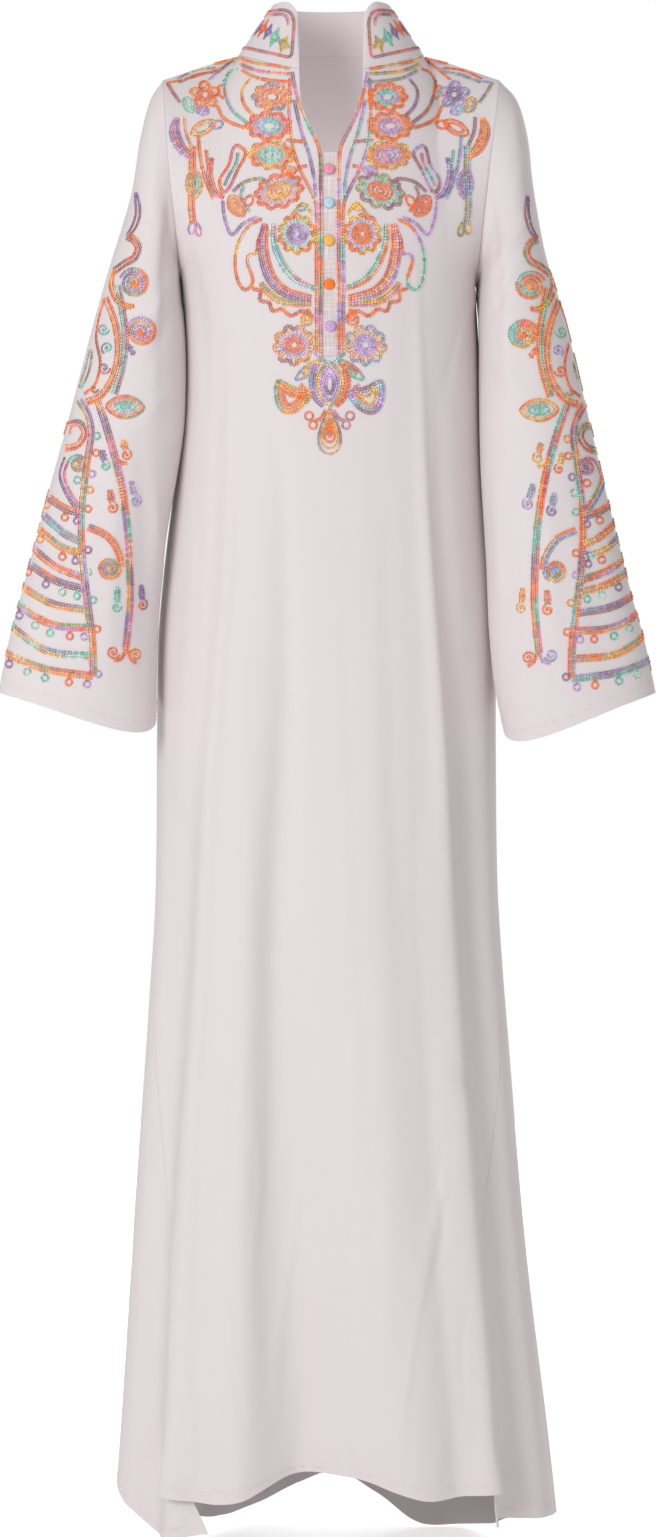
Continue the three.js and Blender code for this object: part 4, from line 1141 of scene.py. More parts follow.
class AbayaStage(bpy.types.PropertyGroup):
    """Studio light and floor"""

    floor_colour: bpy.props.FloatVectorProperty(
        name="Floor", description="Colour of the floor and backdrop", default=srgb(247, 246, 246), size=4,
        min=0,
        max=1, subtype="COLOR",
    )
    key_power: bpy.props.FloatProperty(
        name="Key light", description="Power of the large soft light at the left", default=66.0, min=0.0,
        unit="POWER",
    )
    fill_power: bpy.props.FloatProperty(
        name="Fill light", description="Power of the weak light at the right", default=4.0, min=0.0,
        unit="POWER",
    )
    back_power: bpy.props.FloatProperty(
        name="Back light", description="Power of the soft light behind", default=38.0, min=0.0, unit="POWER",
    )
    inner_power: bpy.props.FloatProperty(
        name="Light through the cloth", description="Weak light inside, as daylight comes through thin linen",
        default=0.3, min=0.0, unit="POWER",
    )
    floor_glow: bpy.props.FloatProperty(
        name="Floor glow", description="Light that the white floor gives off, as on a light table",
        default=0.08,
        min=0.0, max=2.0,
    )
    shown_glow: bpy.props.FloatProperty(
        name="Shown glow", description="Glow of the floor as the camera sees it", default=0.55, min=0.0,
        max=2.0,
    )
    sky: bpy.props.FloatProperty(
        name="Room light", description="Even light from all round", default=0.52, min=0.0, max=3.0,
    )


# Rows and columns of the cloth grids. A row lies at the slit's end and one where the side slits begin.
YOKE_ROWS, SLIT_ROWS, SKIRT_ROWS, OPENING_ROWS = 64, 22, 128, 5
FRONT_HEM_ROWS, BACK_HEM_ROWS = 10, 18
FRONT_HALF, BACK_COLUMNS = 72, 149
SLEEVE_AROUND, SLEEVE_ALONG = 108, 130
COLLAR_AROUND, COLLAR_UP, COLLAR_WALL = 181, 26, 2.0
PLACKET = dict(top=86.8, bottom=311, rows=90, wall=1.0, behind=1.8, reach=0.08)
PANEL_ROWS = np.concatenate([
    np.linspace(0, ARMHOLE["down"], YOKE_ROWS, endpoint=False),
    np.linspace(ARMHOLE["down"], SLIT["down"], SLIT_ROWS, endpoint=False),
    np.linspace(SLIT["down"], SIDE_SLIT["down"], SKIRT_ROWS, endpoint=False),
    np.linspace(SIDE_SLIT["down"], SIDE_SLIT["open"], OPENING_ROWS, endpoint=False),
])
SLIT_ROW = YOKE_ROWS + SLIT_ROWS


# Distances over which a slope is measured: along the first parameter, down a panel and round a sleeve
SHARE_STEP, DOWN_STEP, TURN_STEP = 0.004, 1.5, 0.02
# Heights between which the fine unevenness grows to twice its height
LOW_WRINKLES = (850, 1250)


def outward(surface, a, b, step_a, step_b):
    """Normals of a surface: the cross product of its slopes, each measured over a step both ways."""
    by_a = surface(a + step_a, b) - surface(a - step_a, b)
    by_b = surface(a, b + step_b) - surface(a, b - step_b)
    return unit(np.cross(by_b, by_a))


def raised(base, normal, relief, fade):
    """Points moved along their normals by a relief that fades out towards the seams."""
    height = bpy.context.scene.abaya_cloth.crease_height
    return base + normal * (relief * fade * height)[..., None]


def eased(surface, across, w, centre=ARMHOLE["down"], reach=26.0):
    """Rounds off the change of slope where the yoke meets the chest: each point moves towards the mean of the
    two a little above and below it, and least at the seam."""
    near = np.clip(1.6 - np.abs(w - centre) / reach, 0, 1) * ramp(1 - np.abs(across), 0, 0.12) * 0.8
    mean = (surface(w - reach) + surface(w + reach)) / 2
    here = surface(w)
    return here + (mean - here) * near[..., None]


def front_creased(s, w, side):
    """Front panel with its creases; the relief dies away at the seams, so the panels still meet."""
    s, w = np.broadcast_arrays(np.asarray(s, float), np.asarray(w, float))
    base = eased(lambda fall: front_surface(s, fall, side), s, w)
    normal = outward(lambda a, b: front_surface(a, b, side), s, w, SHARE_STEP, DOWN_STEP)
    normal = normal * np.asarray(side, float)[..., None]
    relief = crease_relief(seen_at(base), FRONT_CREASES)
    relief = relief + crumple(base[..., 0], -base[..., 2], 5, 0.55) * (1 + ramp(w, *LOW_WRINKLES))
    return raised(base, normal, relief, ramp(w, 2, 60) * ramp(1 - s, 0, 0.07))


def make_front():
    """Left half, centre and right half of the front; the cells between the slit's edges are left out above
    its end."""
    settings = bpy.context.scene.abaya_cloth
    hem = np.linspace(SIDE_SLIT["open"], SIDE_SLIT["open"] + FRONT_HEM_REACH, FRONT_HEM_ROWS)
    rows = np.concatenate([PANEL_ROWS, hem])
    s, w = np.meshgrid(np.linspace(0, 1, FRONT_HALF), rows)
    right = front_creased(s, w, np.ones(s.shape))
    left = front_creased(s, w, -np.ones(s.shape))[:, ::-1]
    centre = (left[:, -1:] + right[:, :1]) / 2
    grid = np.concatenate([left, centre, right], axis=1)
    normals = np.concatenate([sheet_normals(left), np.zeros(centre.shape), sheet_normals(right)], axis=1)
    normals[:, FRONT_HALF] = unit(normals[:, FRONT_HALF - 1] + normals[:, FRONT_HALF + 1])
    hole = np.zeros((len(rows) - 1, grid.shape[1] - 1), bool)
    hole[:SLIT_ROW, FRONT_HALF - 1 : FRONT_HALF + 1] = True
    made = shell(
        "front_panel", grid, material("linen"), settings.thickness / MM, hole=hole, normals=normals,
        start_column=FRONT_HALF,
    )
    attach(made, "root")
    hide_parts("front")
    return made


def back_creased(u, w):
    """Back panel with its creases and the fine unevenness of the linen."""
    u, w = np.broadcast_arrays(np.asarray(u, float), np.asarray(w, float))
    base = eased(lambda fall: back_surface(u, fall), u, w)
    normal = outward(back_surface, u, w, SHARE_STEP, DOWN_STEP)
    behind = ramp(base[..., 1], -60, 0)
    relief = crease_relief(stack(base[..., 0], -base[..., 2]), BACK_CREASES) * behind
    relief = relief + crease_relief(seen_at(base), FRONT_CREASES) * (1 - behind)
    wrinkles = crumple(base[..., 0] + base[..., 1], -base[..., 2], 8, 0.6)
    relief = relief + wrinkles * (1 + ramp(w, *LOW_WRINKLES))
    return raised(base, normal, relief, ramp(w, 2, 60) * ramp(1 - np.abs(u), 0, 0.06))


def make_back():
    """The back, from the right side seam over the spine to the left one, down to its longer curved hem."""
    settings = bpy.context.scene.abaya_cloth
    hem = np.linspace(SIDE_SLIT["open"], SIDE_SLIT["open"] + BACK_HEM_REACH, BACK_HEM_ROWS)
    u, w = np.meshgrid(np.linspace(-1, 1, BACK_COLUMNS), np.concatenate([PANEL_ROWS, hem]))
    grid = back_creased(u, w)
    made = shell(
        "back_panel", grid, material("linen"), settings.thickness / MM, start_column=BACK_COLUMNS // 2
    )
    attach(made, "root")
    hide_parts("back")
    return made


def sleeve_creased(t, turn, side):
    """A sleeve with its creases; those of the front half are repeated on the back half."""
    base = sleeve_surface(t, turn, side)
    normal = outward(lambda a, b: sleeve_surface(a, b, side), t, turn, SHARE_STEP, TURN_STEP) * side
    relief = crease_relief(seen_at(sleeve_surface(t, np.abs(turn), side)), SLEEVE_CREASES[side])
    relief = relief + crumple(base[..., 1] * 1.4, -base[..., 2], 11 + side, 0.55)
    return raised(base, normal, relief, ramp(t, 0.0, 0.08))


def make_sleeve(side):
    """One sleeve as a closed wall of rings from the armhole to the wide cuff."""
    settings = bpy.context.scene.abaya_cloth
    turns = np.linspace(-np.pi, np.pi, SLEEVE_AROUND, endpoint=False)
    turn, t = np.meshgrid(turns, np.linspace(0, 1, SLEEVE_ALONG))
    grid = sleeve_creased(t, turn, side)
    name = "left_sleeve" if side < 0 else "right_sleeve"
    made = shell(name, grid, material("linen"), settings.thickness / MM, closed=True, flip=side > 0)
    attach(made, "root")
    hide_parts("sleeve_left" if side < 0 else "sleeve_right")
    return made


def make_collar():
    """The stand collar, stiffer and thicker than the rest because it is two layers."""
    round_it = np.linspace(0, 1, COLLAR_AROUND)
    share, rise = np.meshgrid(round_it - 0.08 * np.sin(2 * np.pi * round_it), np.linspace(1, 0, COLLAR_UP))
    grid = collar_surface(share, rise)
    made = shell("stand_collar", grid, material("linen"), COLLAR_WALL)
    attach(made, "root")
    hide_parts("collar")
    return made


def placket_grid(rows):
    """Strip behind the slit: the front panel's own face beside the slit, moved straight in by its wall and
    gap."""
    s, w = np.meshgrid(np.linspace(0, PLACKET["reach"], 6), rows)
    right = front_surface(s, w, np.ones(s.shape))
    left = front_surface(s, w, -np.ones(s.shape))[:, ::-1]
    middle = mix(left[:, -1:], right[:, :1], np.array((0.25, 0.5, 0.75))[None, :, None])
    grid = np.concatenate([left, middle, right], axis=1)
    return grid - sheet_normals(grid) * PLACKET["behind"]


def make_under_placket():
    """The strip that closes the slit from behind and carries the thread buttons."""
    grid = placket_grid(np.linspace(PLACKET["top"], PLACKET["bottom"], PLACKET["rows"]))
    # Its linen is painted lighter than the panels': painted light
    made = shell("placket_strip", grid, material("placket_linen_painted_lighter"), PLACKET["wall"])
    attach(made, "root")
    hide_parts("under_placket")
    return made


def loop_thread(number):
    """Thread of a loop; the colours follow each other."""
    return LOOP_THREADS[number % len(LOOP_THREADS)]


def drop_loops(points, count):
    """Small loops hanging under a bar, evenly spaced along it, each of its own thread."""
    path = smooth_path(points)
    places = [path[int(round((len(path) - 1) * (k + 0.6) / count))] for k in range(count)]
    return [
        stroke for k, (x, y) in enumerate(places)
        for stroke in ring(x, y + 9, LOOP_RADIUS, loop_thread(k + count))
        + lines(((x, y + 2), (x, y + 6)), 1, loop_thread(k + count))
    ]


def drawn(shapes, side):
    """Every stroke of a table of shapes, in the threads of one side."""
    column = 0 if side < 0 else 1
    return [stroke for shape, args, *rest in shapes for stroke in shape(*args, rest[column], *rest[2:])]


def sleeve_strokes(side):
    """Every stroke of a sleeve's motif in the front view; the right sleeve is the left one mirrored."""
    strokes = drawn(SLEEVE, side)
    for k, (points, threads, loops) in enumerate(BARS):
        strokes += lines(points, 2, threads if side < 0 else BARS[-k][1])
        strokes += drop_loops(points, loops) if loops else []
    for k, (x, y) in enumerate(zip(*RAIL_DROPS.values())):
        strokes += ring(x, y, LOOP_RADIUS, loop_thread(k + (3 if side > 0 else 0)))
    if side > 0:
        strokes = [(path * (-1, 1) + SLEEVE_MIRROR, *rest) for path, *rest in strokes]
    return strokes


def yoke_strokes(side):
    """Every stroke of one half of the yoke; the right half is mirrored about the centre line with its own
    threads."""
    strokes = drawn(YOKE, side)
    return [(path * (-1, 1) + YOKE_MIRROR, *rest) for path, *rest in strokes] if side > 0 else strokes


def strand(bulge):
    """One thread of a chain link: a thin four-sided spindle that leaves the tail, swells out and meets the
    head. Returns its points (along, across, up), faces and the painted shade of each point: a painted
    highlight on top, and painted shade a little on the outer side, more underneath, and most on the inner
    side that faces the link's other thread and at both ends."""
    rings_at = ((0.7, 1.1, 0.65, 0.66), (2.2, 1.25, 0.7, 0.7))
    # Painted shade of each point, multiplied into the thread's colour: darkest at the tail and head, a
    # painted highlight on top, darker underneath and on the inner side
    points, shade = [(-0.45, 0.12 * bulge, 0.5)], [0.5]
    for along, across, up, radius in rings_at:
        for side, lift in ((1, 0), (0, 1), (-1, 0), (0, -1)):
            points.append((along, bulge * (across + side * radius), up + lift * radius * 0.8))
            shade.append({(1, 0): 0.95, (0, 1): 1.14, (-1, 0): 0.6, (0, -1): 0.8}[side, lift])
    points.append((3.3, 0.4 * bulge, 0.45))
    shade.append(0.55)
    ring_a, ring_b = range(1, 5), range(5, 9)
    triangles = [(0, ring_a[(k + 1) % 4], ring_a[k]) for k in range(4)]
    triangles += [(9, ring_b[k], ring_b[(k + 1) % 4]) for k in range(4)]
    quads = [(ring_a[k], ring_a[(k + 1) % 4], ring_b[(k + 1) % 4], ring_b[k]) for k in range(4)]
    turn = slice(None, None, 1 if bulge > 0 else -1)
    return np.array(points), np.array(triangles)[:, turn], np.array(quads)[:, turn], np.array(shade)


LINK = [strand(1), strand(-1)]
PLAIN_STITCH = [strand(1)]


def stitched(name, runs, spacing, colour_span, template, seed):
    """Chain stitches along runs: each run is (points, normals, threads, size). Stitches follow each other at
    even distances; every one is the template set on the cloth along, across and out of it, in its thread's
    colour times the template's painted shade and painted highlight."""
    rng = np.random.default_rng(seed)
    places, alongs, outs, colours, sizes = [], [], [], [], []
    for points, normals, threads, size in runs:
        length = spacing * size
        reach = np.concatenate([[0], np.cumsum(np.linalg.norm(np.diff(points, axis=0), axis=-1))])
        count = int(reach[-1] / length)
        if count < 1:
            continue
        at = (np.arange(count) + 0.5) * reach[-1] / count - length / 2
        place = np.stack([np.interp(at, reach, points[:, k]) for k in range(3)], axis=-1)
        ahead = np.stack([np.interp(at + length, reach, points[:, k]) for k in range(3)], axis=-1)
        out = unit(np.stack([np.interp(at + length / 2, reach, normals[:, k]) for k in range(3)], axis=-1))
        along = unit(ahead - place)
        dyes = np.array([srgb(*THREADS[thread])[:3] for thread in threads.split()])
        turn = at / colour_span + rng.uniform(0, len(dyes))
        first = np.floor(turn).astype(int) % len(dyes)
        share = ramp(turn - np.floor(turn), 0.55, 1.0)[:, None]
        colour = mix(dyes[first], dyes[(first + 1) % len(dyes)], share)
        places.append(place)
        alongs.append(unit(along - out * np.sum(along * out, axis=-1, keepdims=True)))
        outs.append(out)
        sizes.append(np.full((count, 1), size))
        colours.append(colour * rng.uniform(0.68, 1.36, (count, 1)) * rng.uniform(0.9, 1.1, (count, 3)))
    place, along, out, colour, size = (
        np.concatenate(part) for part in (places, alongs, outs, colours, sizes)
    )
    across = np.cross(out, along)
    count = len(place)
    all_points, all_colours, triangles, quads, start = [], [], [], [], 0
    for points, tri, quad, shade in template:
        grown = points[None] * size[:, :, None]
        made = (
            place[:, None] + grown[..., :1] * along[:, None] + grown[..., 1:2] * across[:, None]
            + grown[..., 2:] * out[:, None]
        )
        offsets = start + np.arange(count)[:, None, None] * len(points)
        all_points.append(made.reshape(-1, 3))
        # Painted shade: each point's colour is its stitch's colour times the template's painted shade
        all_colours.append((colour[:, None] * shade[None, :, None]).reshape(-1, 3))
        triangles.append((tri[None] + offsets).reshape(-1, 3))
        quads.append((quad[None] + offsets).reshape(-1, 4))
        start += count * len(points)
    paint = np.concatenate(all_colours)
    paint = np.concatenate([np.clip(paint, 0, 1), np.ones((len(paint), 1))], axis=1)
    faces = [np.concatenate(triangles), np.concatenate(quads)]
    made = mesh_object(name, np.concatenate(all_points), faces, material("thread"), colours=paint, sharp=180)
    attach(made, "root")
    return made


def laid_on(surface, a, b, step_a, step_b, handed):
    """Points and outward normals of a surface at its parameters; handed is 1 or -1 for the way its grid
    turns."""
    return surface(a, b), outward(surface, a, b, step_a, step_b) * handed


def cut_back(points, normals, strokes):
    """Points and normals of all strokes together, cut back into one run for each stroke."""
    cuts = np.cumsum([len(stroke[0]) for stroke in strokes])[:-1]
    return [
        (p, n, threads, size)
        for p, n, (_, threads, size) in zip(np.split(points, cuts), np.split(normals, cuts), strokes)
    ]


# First guesses for the search: half the yoke's width as seen, and each sleeve's outer and inner lines
YOKE_REACH = 150
SLEEVE_SEEN = {-1: dict(outer=(160, 5), inner=170), 1: dict(outer=(498, 652), inner=490)}
SLEEVE_HEIGHTS = (60, 680)


def embroider_yoke(side):
    """One half of the yoke's embroidery, pinned to the front panel."""
    strokes = yoke_strokes(side)
    if side > 0:
        strokes += [stroke for shape, args, threads in CENTRE for stroke in shape(*args, threads)]
    places = np.concatenate([stroke[0] for stroke in strokes])
    half = np.where(places[:, 0] < MIDDLE_LINE, -1.0, 1.0)

    def base(s, w):
        return front_surface(s, w, half)

    def creased_front(s, w):
        return front_creased(s, w, half)

    guess = np.abs(places[:, 0] - MIDDLE_LINE) / YOKE_REACH, 0.94 * places[:, 1] - 49
    s, w = pinned(base, places, guess, (-0.12, 1.0), (0.995, 600.0))
    points, normals = laid_on(creased_front, s, w, 0.003, 1.0, half[:, None])
    runs = cut_back(points, normals, strokes)
    name = "yoke_embroidery_left" if side < 0 else "yoke_embroidery_right"
    return stitched(name, runs, STITCH, 19, LINK, 21 + side)


def ended_at_outline(strokes, side, reach=8.0):
    """Strokes cut off where the sleeve's outer line is seen in the front view: points up to reach beyond it
    move onto it, and the ones further out go."""
    line = seen_at(sleeve_surface(np.linspace(0.02, 0.985, 60), np.full(60, 0.12), side))
    ended = []
    for path, threads, size in strokes:
        edge = np.interp(path[:, 1], line[:, 1], line[:, 0])
        beyond = side * (path[:, 0] - edge)
        moved = stack(np.where(beyond > 0, edge, path[:, 0]), path[:, 1])[beyond < reach]
        if len(moved) > 2:
            ended.append((moved, threads, size))
    return ended


def embroider_sleeve(side):
    """The motif along a sleeve's outer line: the front half is pinned in the front view, and the back half
    repeats it the other way round the sleeve."""
    strokes = ended_at_outline(sleeve_strokes(side), side)
    places = np.concatenate([stroke[0] for stroke in strokes])

    def base(t, c):
        return sleeve_surface(t, np.arccos(np.clip(c, -1, 1)), side)

    outer = np.interp(places[:, 1], SLEEVE_HEIGHTS, SLEEVE_SEEN[side]["outer"])
    c = 1 - 2 * (places[:, 0] - outer) / (SLEEVE_SEEN[side]["inner"] - outer)
    t, c = pinned(
        base, places, ((places[:, 1] - 70) / 620, c), (0.02, -0.9), (0.985, 0.9995), steps=(0.002, -0.004),
        limits=(0.03, 0.08),
    )
    turn = np.arccos(np.clip(c, -1, 1))
    runs = []
    for half in (1, -1):
        laid = laid_on(lambda a, b: sleeve_creased(a, b, side), t, half * turn, 0.004, 0.02, side)
        runs += cut_back(*laid, strokes)
    name = "sleeve_embroidery_left" if side < 0 else "sleeve_embroidery_right"
    return stitched(name, runs, STITCH, 24, LINK, 31 + side)


COLLAR_LENGTH = 358
COLLAR_HEIGHT = 50
COLLAR_FRAME = [
    # rise of the lower and upper line, how far in from the front edges they turn, and the threads
    (0.15, 0.86, 0.017, "mauve brick rose"),
    (None, 0.79, 0.035, "salmon mauve pink"),
]


def collar_frame(low, high, inset, corner=0.02):
    """Half of a frame row, from the back's middle along the upper line, round its corners in quarter circles
    and, where it has a lower line, back along that."""
    turn = np.linspace(0, np.pi / 2, 9)
    tall = corner * COLLAR_LENGTH / COLLAR_HEIGHT
    top = stack(inset + corner * (1 - np.sin(turn)), high - tall * (1 - np.cos(turn)))
    run = stack(np.linspace(0.5, inset + corner, 140), np.full(140, high))
    if low is None:
        return np.vstack([run, top[1:]])
    foot = stack(inset + corner * (1 - np.cos(turn)) / 2, low + tall * (1 - np.sin(turn)) / 2)
    back = stack(np.linspace(inset + corner / 2, 0.5, 140)[1:], np.full(139, low))
    return np.vstack([run, top[1:], foot, back])


def embroider_collar():
    """Framing rows that follow the collar's edges and a row of slanting four-point stars that rises from the
    front edges towards the back."""
    strokes = []
    for low, high, inset, threads in COLLAR_FRAME:
        half = collar_frame(low, high, inset)
        strokes += [(half, threads, 0.9), (half * (-1, 1) + (1, 0), threads, 0.9)]
    count = 32
    dyes = ("olive mustard", "teal", "purple", "coral orange", "mauve", "lilac blue")
    for k in range(count):
        middle = 14 + (COLLAR_LENGTH - 28) * k / (count - 1)
        near = min(k, count - 1 - k)
        height = COLLAR_HEIGHT * min(0.34 + 0.075 * near, 0.54)
        slant = 16 if k < count / 2 else -16
        for path, *rest in star(middle, height, 8.5 if near % 2 else 7.5, slant, dyes[near % len(dyes)]):
            strokes.append((path / (COLLAR_LENGTH, COLLAR_HEIGHT), *rest))
    places = np.concatenate([stroke[0] for stroke in strokes])
    points, normals = laid_on(collar_surface, places[:, 0], places[:, 1], 0.003, 0.02, -1)
    runs = cut_back(points, normals, strokes)
    return stitched("collar_embroidery", runs, STITCH, 16, LINK, 41)


def thread_button(name, place, out, radius, height, colour):
    """Button of wound thread: a dome whose height is (1 - r^2)^0.4, ridged by the turns of thread that cross
    its middle as |sin| of the angle. Its colour has painted shade: darker in the grooves between the turns."""
    turn, r = np.meshgrid(np.linspace(0, 2 * np.pi, 72, endpoint=False), np.linspace(0, 1, 13)[1:])
    wound = np.abs(np.sin(6 * turn + 2.2 * r))
    ridge = 1 + 0.16 * wound * np.sin(np.pi * np.clip(r, 0, 1)) ** 0.5
    up = height * np.clip(1 - r**2, 0, 1) ** 0.4 * ridge
    reach = radius * r * (0.94 + 0.06 * np.abs(np.sin(6 * turn)))
    across = unit(np.cross(out, np.array((0.0, 0.0, 1.0))))
    upward = np.cross(across, out)
    grid = place + reach[..., None] * (np.cos(turn)[..., None] * across + np.sin(turn)[..., None] * upward)
    grid = grid + up[..., None] * out
    index = np.arange(grid.shape[0] * grid.shape[1]).reshape(grid.shape[:2])
    after = np.roll(index, -1, axis=1)
    quads = stack(index[:-1], after[:-1], after[1:], index[1:]).reshape(-1, 4)
    middle = np.full(index.shape[1], index.size)
    top = stack(middle, after[0], index[0])
    base = index[-1][None]
    points = np.vstack([grid.reshape(-1, 3), place + out * height])
    # Painted shade: the thread's colour is darkened in the grooves between the turns, where the ridges are
    # low
    shade = (0.55 + 0.45 * wound)[..., None]
    paint = np.clip(shade * np.array(srgb(*THREADS[colour])[:3]), 0, 1)
    paint = np.concatenate([paint, np.ones(paint.shape[:2] + (1,))], axis=-1).reshape(-1, 4)
    paint = np.vstack([paint, paint[:1]])
    return mesh_object(name, points, [quads, top, base], material("thread"), colours=paint, sharp=180)


BUTTON = dict(radius=5.4, height=3.1, above=0.3, around=12.0)
BUTTONS = [(115, "pink"), (146.5, "sky"), (181.5, "mustard"), (222, "orange"), (261, "lilac")]


def make_buttons():
    """Five thread buttons on the under placket, where the solid ones are."""
    for k, (down, colour) in enumerate(BUTTONS, start=1):
        low, high = (np.array(corner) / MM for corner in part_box(f"button_{k}"))
        middle = (low + high) / 2
        grid = placket_grid(down + BUTTON["around"] * np.array((-1.0, 0.0, 1.0)))
        normal = sheet_normals(grid)[1, grid.shape[1] // 2]
        seat = grid[1, grid.shape[1] // 2] + normal * BUTTON["above"]
        seat = seat + (middle[2] - seat[2]) * np.array((0, 0, 1.0))
        made = thread_button(f"thread_button_{k}", seat, normal, BUTTON["radius"], BUTTON["height"], colour)
        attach(made, "root")
        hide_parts(f"button_{k}")


# Hem stitches: how far a row is above its edge and from the next, the cloth's reach below the side slits and
# the sleeve's length there, all in millimetres, and a stitch's length and size
HEM = dict(above=9, apart=2.6, front=46, back=100, sleeve=585, stitch=6.5, size=0.4)


def edge_line(surface, a, b, step_a, step_b, handed):
    """A run of hem stitches along one line of a surface."""
    points, normals = laid_on(surface, a, b, step_a, step_b, handed)
    return points, normals, "linen", HEM["size"]


def stitch_hems():
    """Two close rows of plain machine stitches above every hem and cuff."""
    s = np.linspace(0.02, 0.98, 120)
    u = np.linspace(-0.98, 0.98, 300)
    turn = np.linspace(-np.pi, np.pi, 200)
    one = np.ones(s.shape)
    runs = []
    for row in (0, 1):
        above = HEM["above"] + HEM["apart"] * row
        for side in (-1, 1):
            w = SIDE_SLIT["open"] + FRONT_HEM_REACH * (1 - above / HEM["front"]) * one
            runs.append(edge_line(lambda a, b, k=side: front_creased(a, b, k * one), s, w, 0.003, 1.0, side))
            t = np.full(turn.shape, 1 - above / HEM["sleeve"])
            runs.append(edge_line(lambda a, b, k=side: sleeve_creased(a, b, k), t, turn, 0.004, 0.02, side))
        w = np.full(u.shape, SIDE_SLIT["open"] + BACK_HEM_REACH * (1 - above / HEM["back"]))
        runs.append(edge_line(back_creased, u, w, 0.003, 1.0, 1))
    return stitched("hem_stitching", runs, HEM["stitch"], 1000, PLAIN_STITCH, 51)


def aim(thing, eye, target):
    """Turns a light or camera that stands at eye towards target."""
    thing.location = eye
    thing.rotation_euler = (Vector(target) - Vector(eye)).to_track_quat("-Z", "Y").to_euler()


FLOOR_HALF = 2600
SENSOR = 36


def soft_light(name, place, size, power, target=(0, 0, -0.7)):
    """Round area light that points at the middle of the garment."""
    light = bpy.data.lights.new(name, "AREA")
    light.shape, light.size, light.energy = "DISK", size, power
    aim(linked(name, light), place, target)


def make_stage():
    """Pale floor, soft lights, a white room that lights evenly from all round and the camera. A weak light
    inside the yoke stands for the daylight that thin linen lets through."""
    settings = bpy.context.scene.abaya_stage
    floor = CAD_BOX[0][2] / MM - 2
    x, y = np.meshgrid(np.linspace(-FLOOR_HALF, FLOOR_HALF, 3), np.linspace(-FLOOR_HALF, FLOOR_HALF, 3))
    grid = stack(x, y, np.full(x.shape, floor))
    index = np.arange(x.size).reshape(x.shape)
    quads = stack(index[:-1, :-1], index[:-1, 1:], index[1:, 1:], index[1:, :-1]).reshape(-1, 4)
    finish = plain_stage("paper", tuple(settings.floor_colour), settings.floor_glow, settings.shown_glow)
    ground = mesh_object("studio_floor", grid.reshape(-1, 3), [quads], finish)
    soft_light("key_light", (-1.9, -3.3, 0.6), 1.6, settings.key_power)
    soft_light("fill_light", (2.8, -2.2, 0.2), 2.0, settings.fill_power)
    soft_light("back_light", (1.4, 3.6, 0.6), 1.8, settings.back_power)
    glow = bpy.data.lights.new("through_cloth", "POINT")
    glow.energy, glow.shadow_soft_size = settings.inner_power, 0.07
    inside = linked("through_cloth", glow)
    inside.location = (0, 0.01, -0.17)
    inside.visible_camera = False
    world = bpy.data.worlds.new("room")
    world.use_nodes = True
    nodes, links = world.node_tree.nodes, world.node_tree.links
    nodes["Background"].inputs[0].default_value = (1, 1, 1, 1)
    nodes["Background"].inputs[1].default_value = settings.sky
    paper, path, choice = (
        nodes.new(f"ShaderNode{kind}") for kind in ("Background", "LightPath", "MixShader")
    )
    paper.inputs[0].default_value = (1, 1, 1, 1)
    links.new(path.outputs["Is Camera Ray"], choice.inputs[0])
    links.new(nodes["Background"].outputs[0], choice.inputs[1])
    links.new(paper.outputs[0], choice.inputs[2])
    links.new(choice.outputs[0], nodes["World Output"].inputs["Surface"])
    bpy.context.scene.world = world
    bpy.context.scene.view_settings.view_transform = "Standard"
    lens = bpy.data.cameras.new("front_view")
    lens.sensor_fit, lens.sensor_width, lens.sensor_height = "AUTO", SENSOR, SENSOR
    distance = math.dist(VIEW["eye"], VIEW["aim"])
    lens.lens = distance / VIEW["unit"] / VIEW["size"][1] * SENSOR
    lens.clip_start, lens.clip_end = 0.1, 30
    camera = linked("front_view", lens)
    aside = (VIEW["size"][0] / 2 - VIEW["centre"][0]) * VIEW["unit"]
    eye, look = (Vector((p[0] + aside, p[1], p[2])) * MM for p in (VIEW["eye"], VIEW["aim"]))
    aim(camera, eye, look)
    bpy.context.scene.camera = camera


class ABAYA_OT_back_panel(bpy.types.Operator):
    """Make the back of the abaya with its curved hem"""

    bl_idname = "abaya.back_panel"
    bl_label = "Back panel"

    def execute(self, context):
        make_back()
        return {"FINISHED"}


class ABAYA_OT_front_panel(bpy.types.Operator):
    """Make the front of the abaya with its slit"""

    bl_idname = "abaya.front_panel"
    bl_label = "Front panel"

    def execute(self, context):
        make_front()
        return {"FINISHED"}


class ABAYA_OT_sleeves(bpy.types.Operator):
    """Make both wide sleeves"""

    bl_idname = "abaya.sleeves"
    bl_label = "Sleeves"

    def execute(self, context):
        make_sleeve(-1)
        make_sleeve(1)
        return {"FINISHED"}


class ABAYA_OT_collar(bpy.types.Operator):
    """Make the stand collar"""

    bl_idname = "abaya.collar"
    bl_label = "Stand collar"

    def execute(self, context):
        make_collar()
        return {"FINISHED"}


class ABAYA_OT_under_placket(bpy.types.Operator):
    """Make the strip behind the slit"""

    bl_idname = "abaya.under_placket"
    bl_label = "Under placket"

    def execute(self, context):
        make_under_placket()
        return {"FINISHED"}


class ABAYA_OT_buttons(bpy.types.Operator):
    """Make the five thread buttons"""

    bl_idname = "abaya.buttons"
    bl_label = "Buttons"

    def execute(self, context):
        make_buttons()
        return {"FINISHED"}


class ABAYA_OT_yoke_embroidery(bpy.types.Operator):
    """Embroider both halves of the yoke"""

    bl_idname = "abaya.yoke_embroidery"
    bl_label = "Yoke embroidery"

    def execute(self, context):
        embroider_yoke(-1)
        embroider_yoke(1)
        return {"FINISHED"}


class ABAYA_OT_sleeve_embroidery(bpy.types.Operator):
    """Embroider both sleeves"""

    bl_idname = "abaya.sleeve_embroidery"
    bl_label = "Sleeve embroidery"

    def execute(self, context):
        embroider_sleeve(-1)
        embroider_sleeve(1)
        return {"FINISHED"}


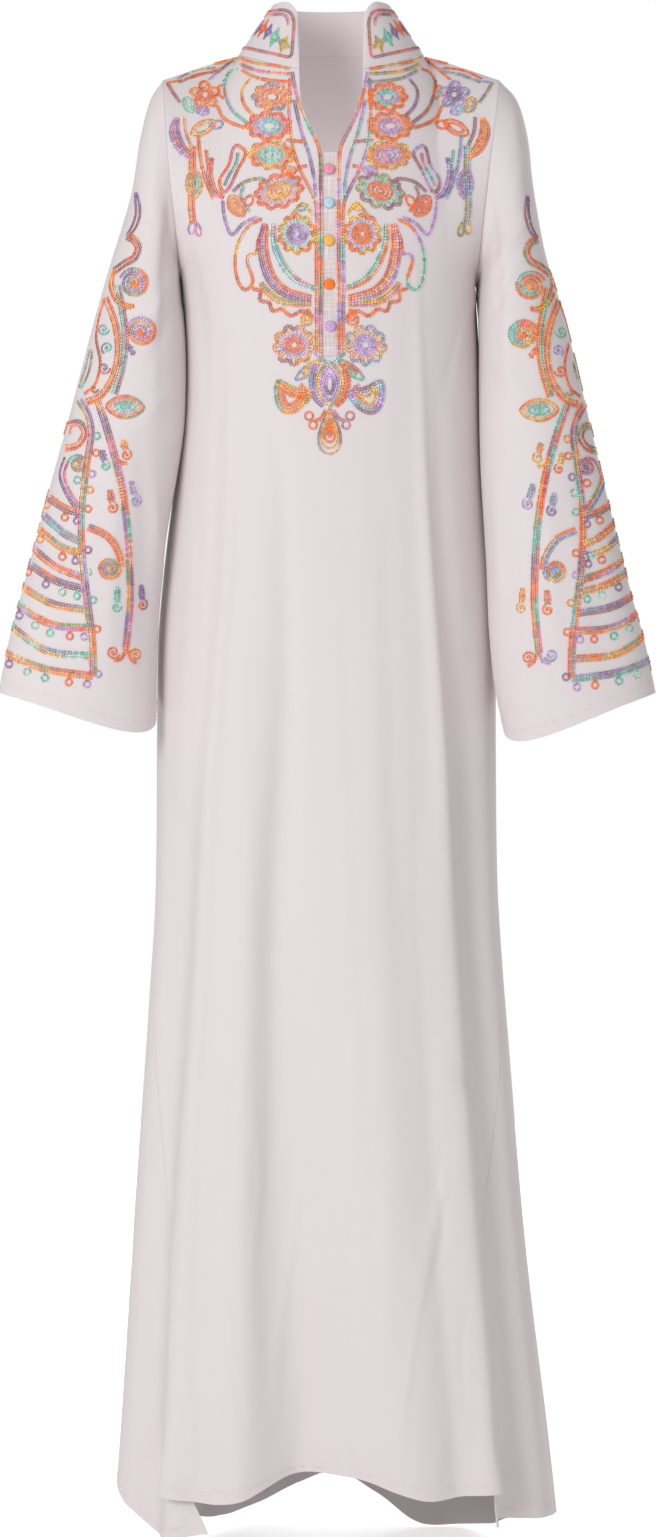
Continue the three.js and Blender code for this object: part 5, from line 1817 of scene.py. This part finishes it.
class ABAYA_OT_collar_embroidery(bpy.types.Operator):
    """Embroider the stand collar"""

    bl_idname = "abaya.collar_embroidery"
    bl_label = "Collar embroidery"

    def execute(self, context):
        embroider_collar()
        return {"FINISHED"}


class ABAYA_OT_hem_stitching(bpy.types.Operator):
    """Stitch the hems and cuffs"""

    bl_idname = "abaya.hem_stitching"
    bl_label = "Hem stitching"

    def execute(self, context):
        stitch_hems()
        return {"FINISHED"}


class ABAYA_OT_cut_sizes(bpy.types.Operator):
    """Does nothing: no cut sizes are stated."""

    bl_idname = "abaya.cut_sizes"
    bl_label = "Cut sizes"

    def execute(self, context):
        return {"FINISHED"}


class ABAYA_OT_stage(bpy.types.Operator):
    """Make the floor, the lights and the camera"""

    bl_idname = "abaya.stage"
    bl_label = "Stage"

    def execute(self, context):
        make_stage()
        return {"FINISHED"}


STEPS = (
    ABAYA_OT_back_panel,
    ABAYA_OT_front_panel,
    ABAYA_OT_sleeves,
    ABAYA_OT_collar,
    ABAYA_OT_under_placket,
    ABAYA_OT_buttons,
    ABAYA_OT_yoke_embroidery,
    ABAYA_OT_sleeve_embroidery,
    ABAYA_OT_collar_embroidery,
    ABAYA_OT_hem_stitching,
    ABAYA_OT_cut_sizes,
    ABAYA_OT_stage,
)


class ABAYA_PT_pieces(bpy.types.Panel):
    """Buttons for the pieces of the abaya, and its sizes and colours"""

    bl_label = "Abaya"
    bl_idname = "ABAYA_PT_pieces"
    bl_space_type = "VIEW_3D"
    bl_region_type = "UI"
    bl_category = "Abaya"

    def draw(self, context):
        for settings in (context.scene.abaya_cloth, context.scene.abaya_stage):
            box = self.layout.box()
            for name in settings.__annotations__:
                box.prop(settings, name)
        for step in STEPS:
            self.layout.operator(step.bl_idname)


SETTINGS = {"abaya_cloth": AbayaCloth, "abaya_stage": AbayaStage}


def register():
    """Makes the settings, the operators and the panel known."""
    for name, group in SETTINGS.items():
        bpy.utils.register_class(group)
        setattr(bpy.types.Scene, name, bpy.props.PointerProperty(type=group))
    for step in (*STEPS, ABAYA_PT_pieces):
        bpy.utils.register_class(step)


def unregister():
    """Takes them all back in reverse."""
    for step in (ABAYA_PT_pieces, *reversed(STEPS)):
        bpy.utils.unregister_class(step)
    for name, group in SETTINGS.items():
        delattr(bpy.types.Scene, name)
        bpy.utils.unregister_class(group)


def main():
    """Makes every piece and the stage."""
    register()
    for step in STEPS:
        group, name = step.bl_idname.split(".")
        getattr(getattr(bpy.ops, group), name)()


if __name__ == "__main__":
    main()
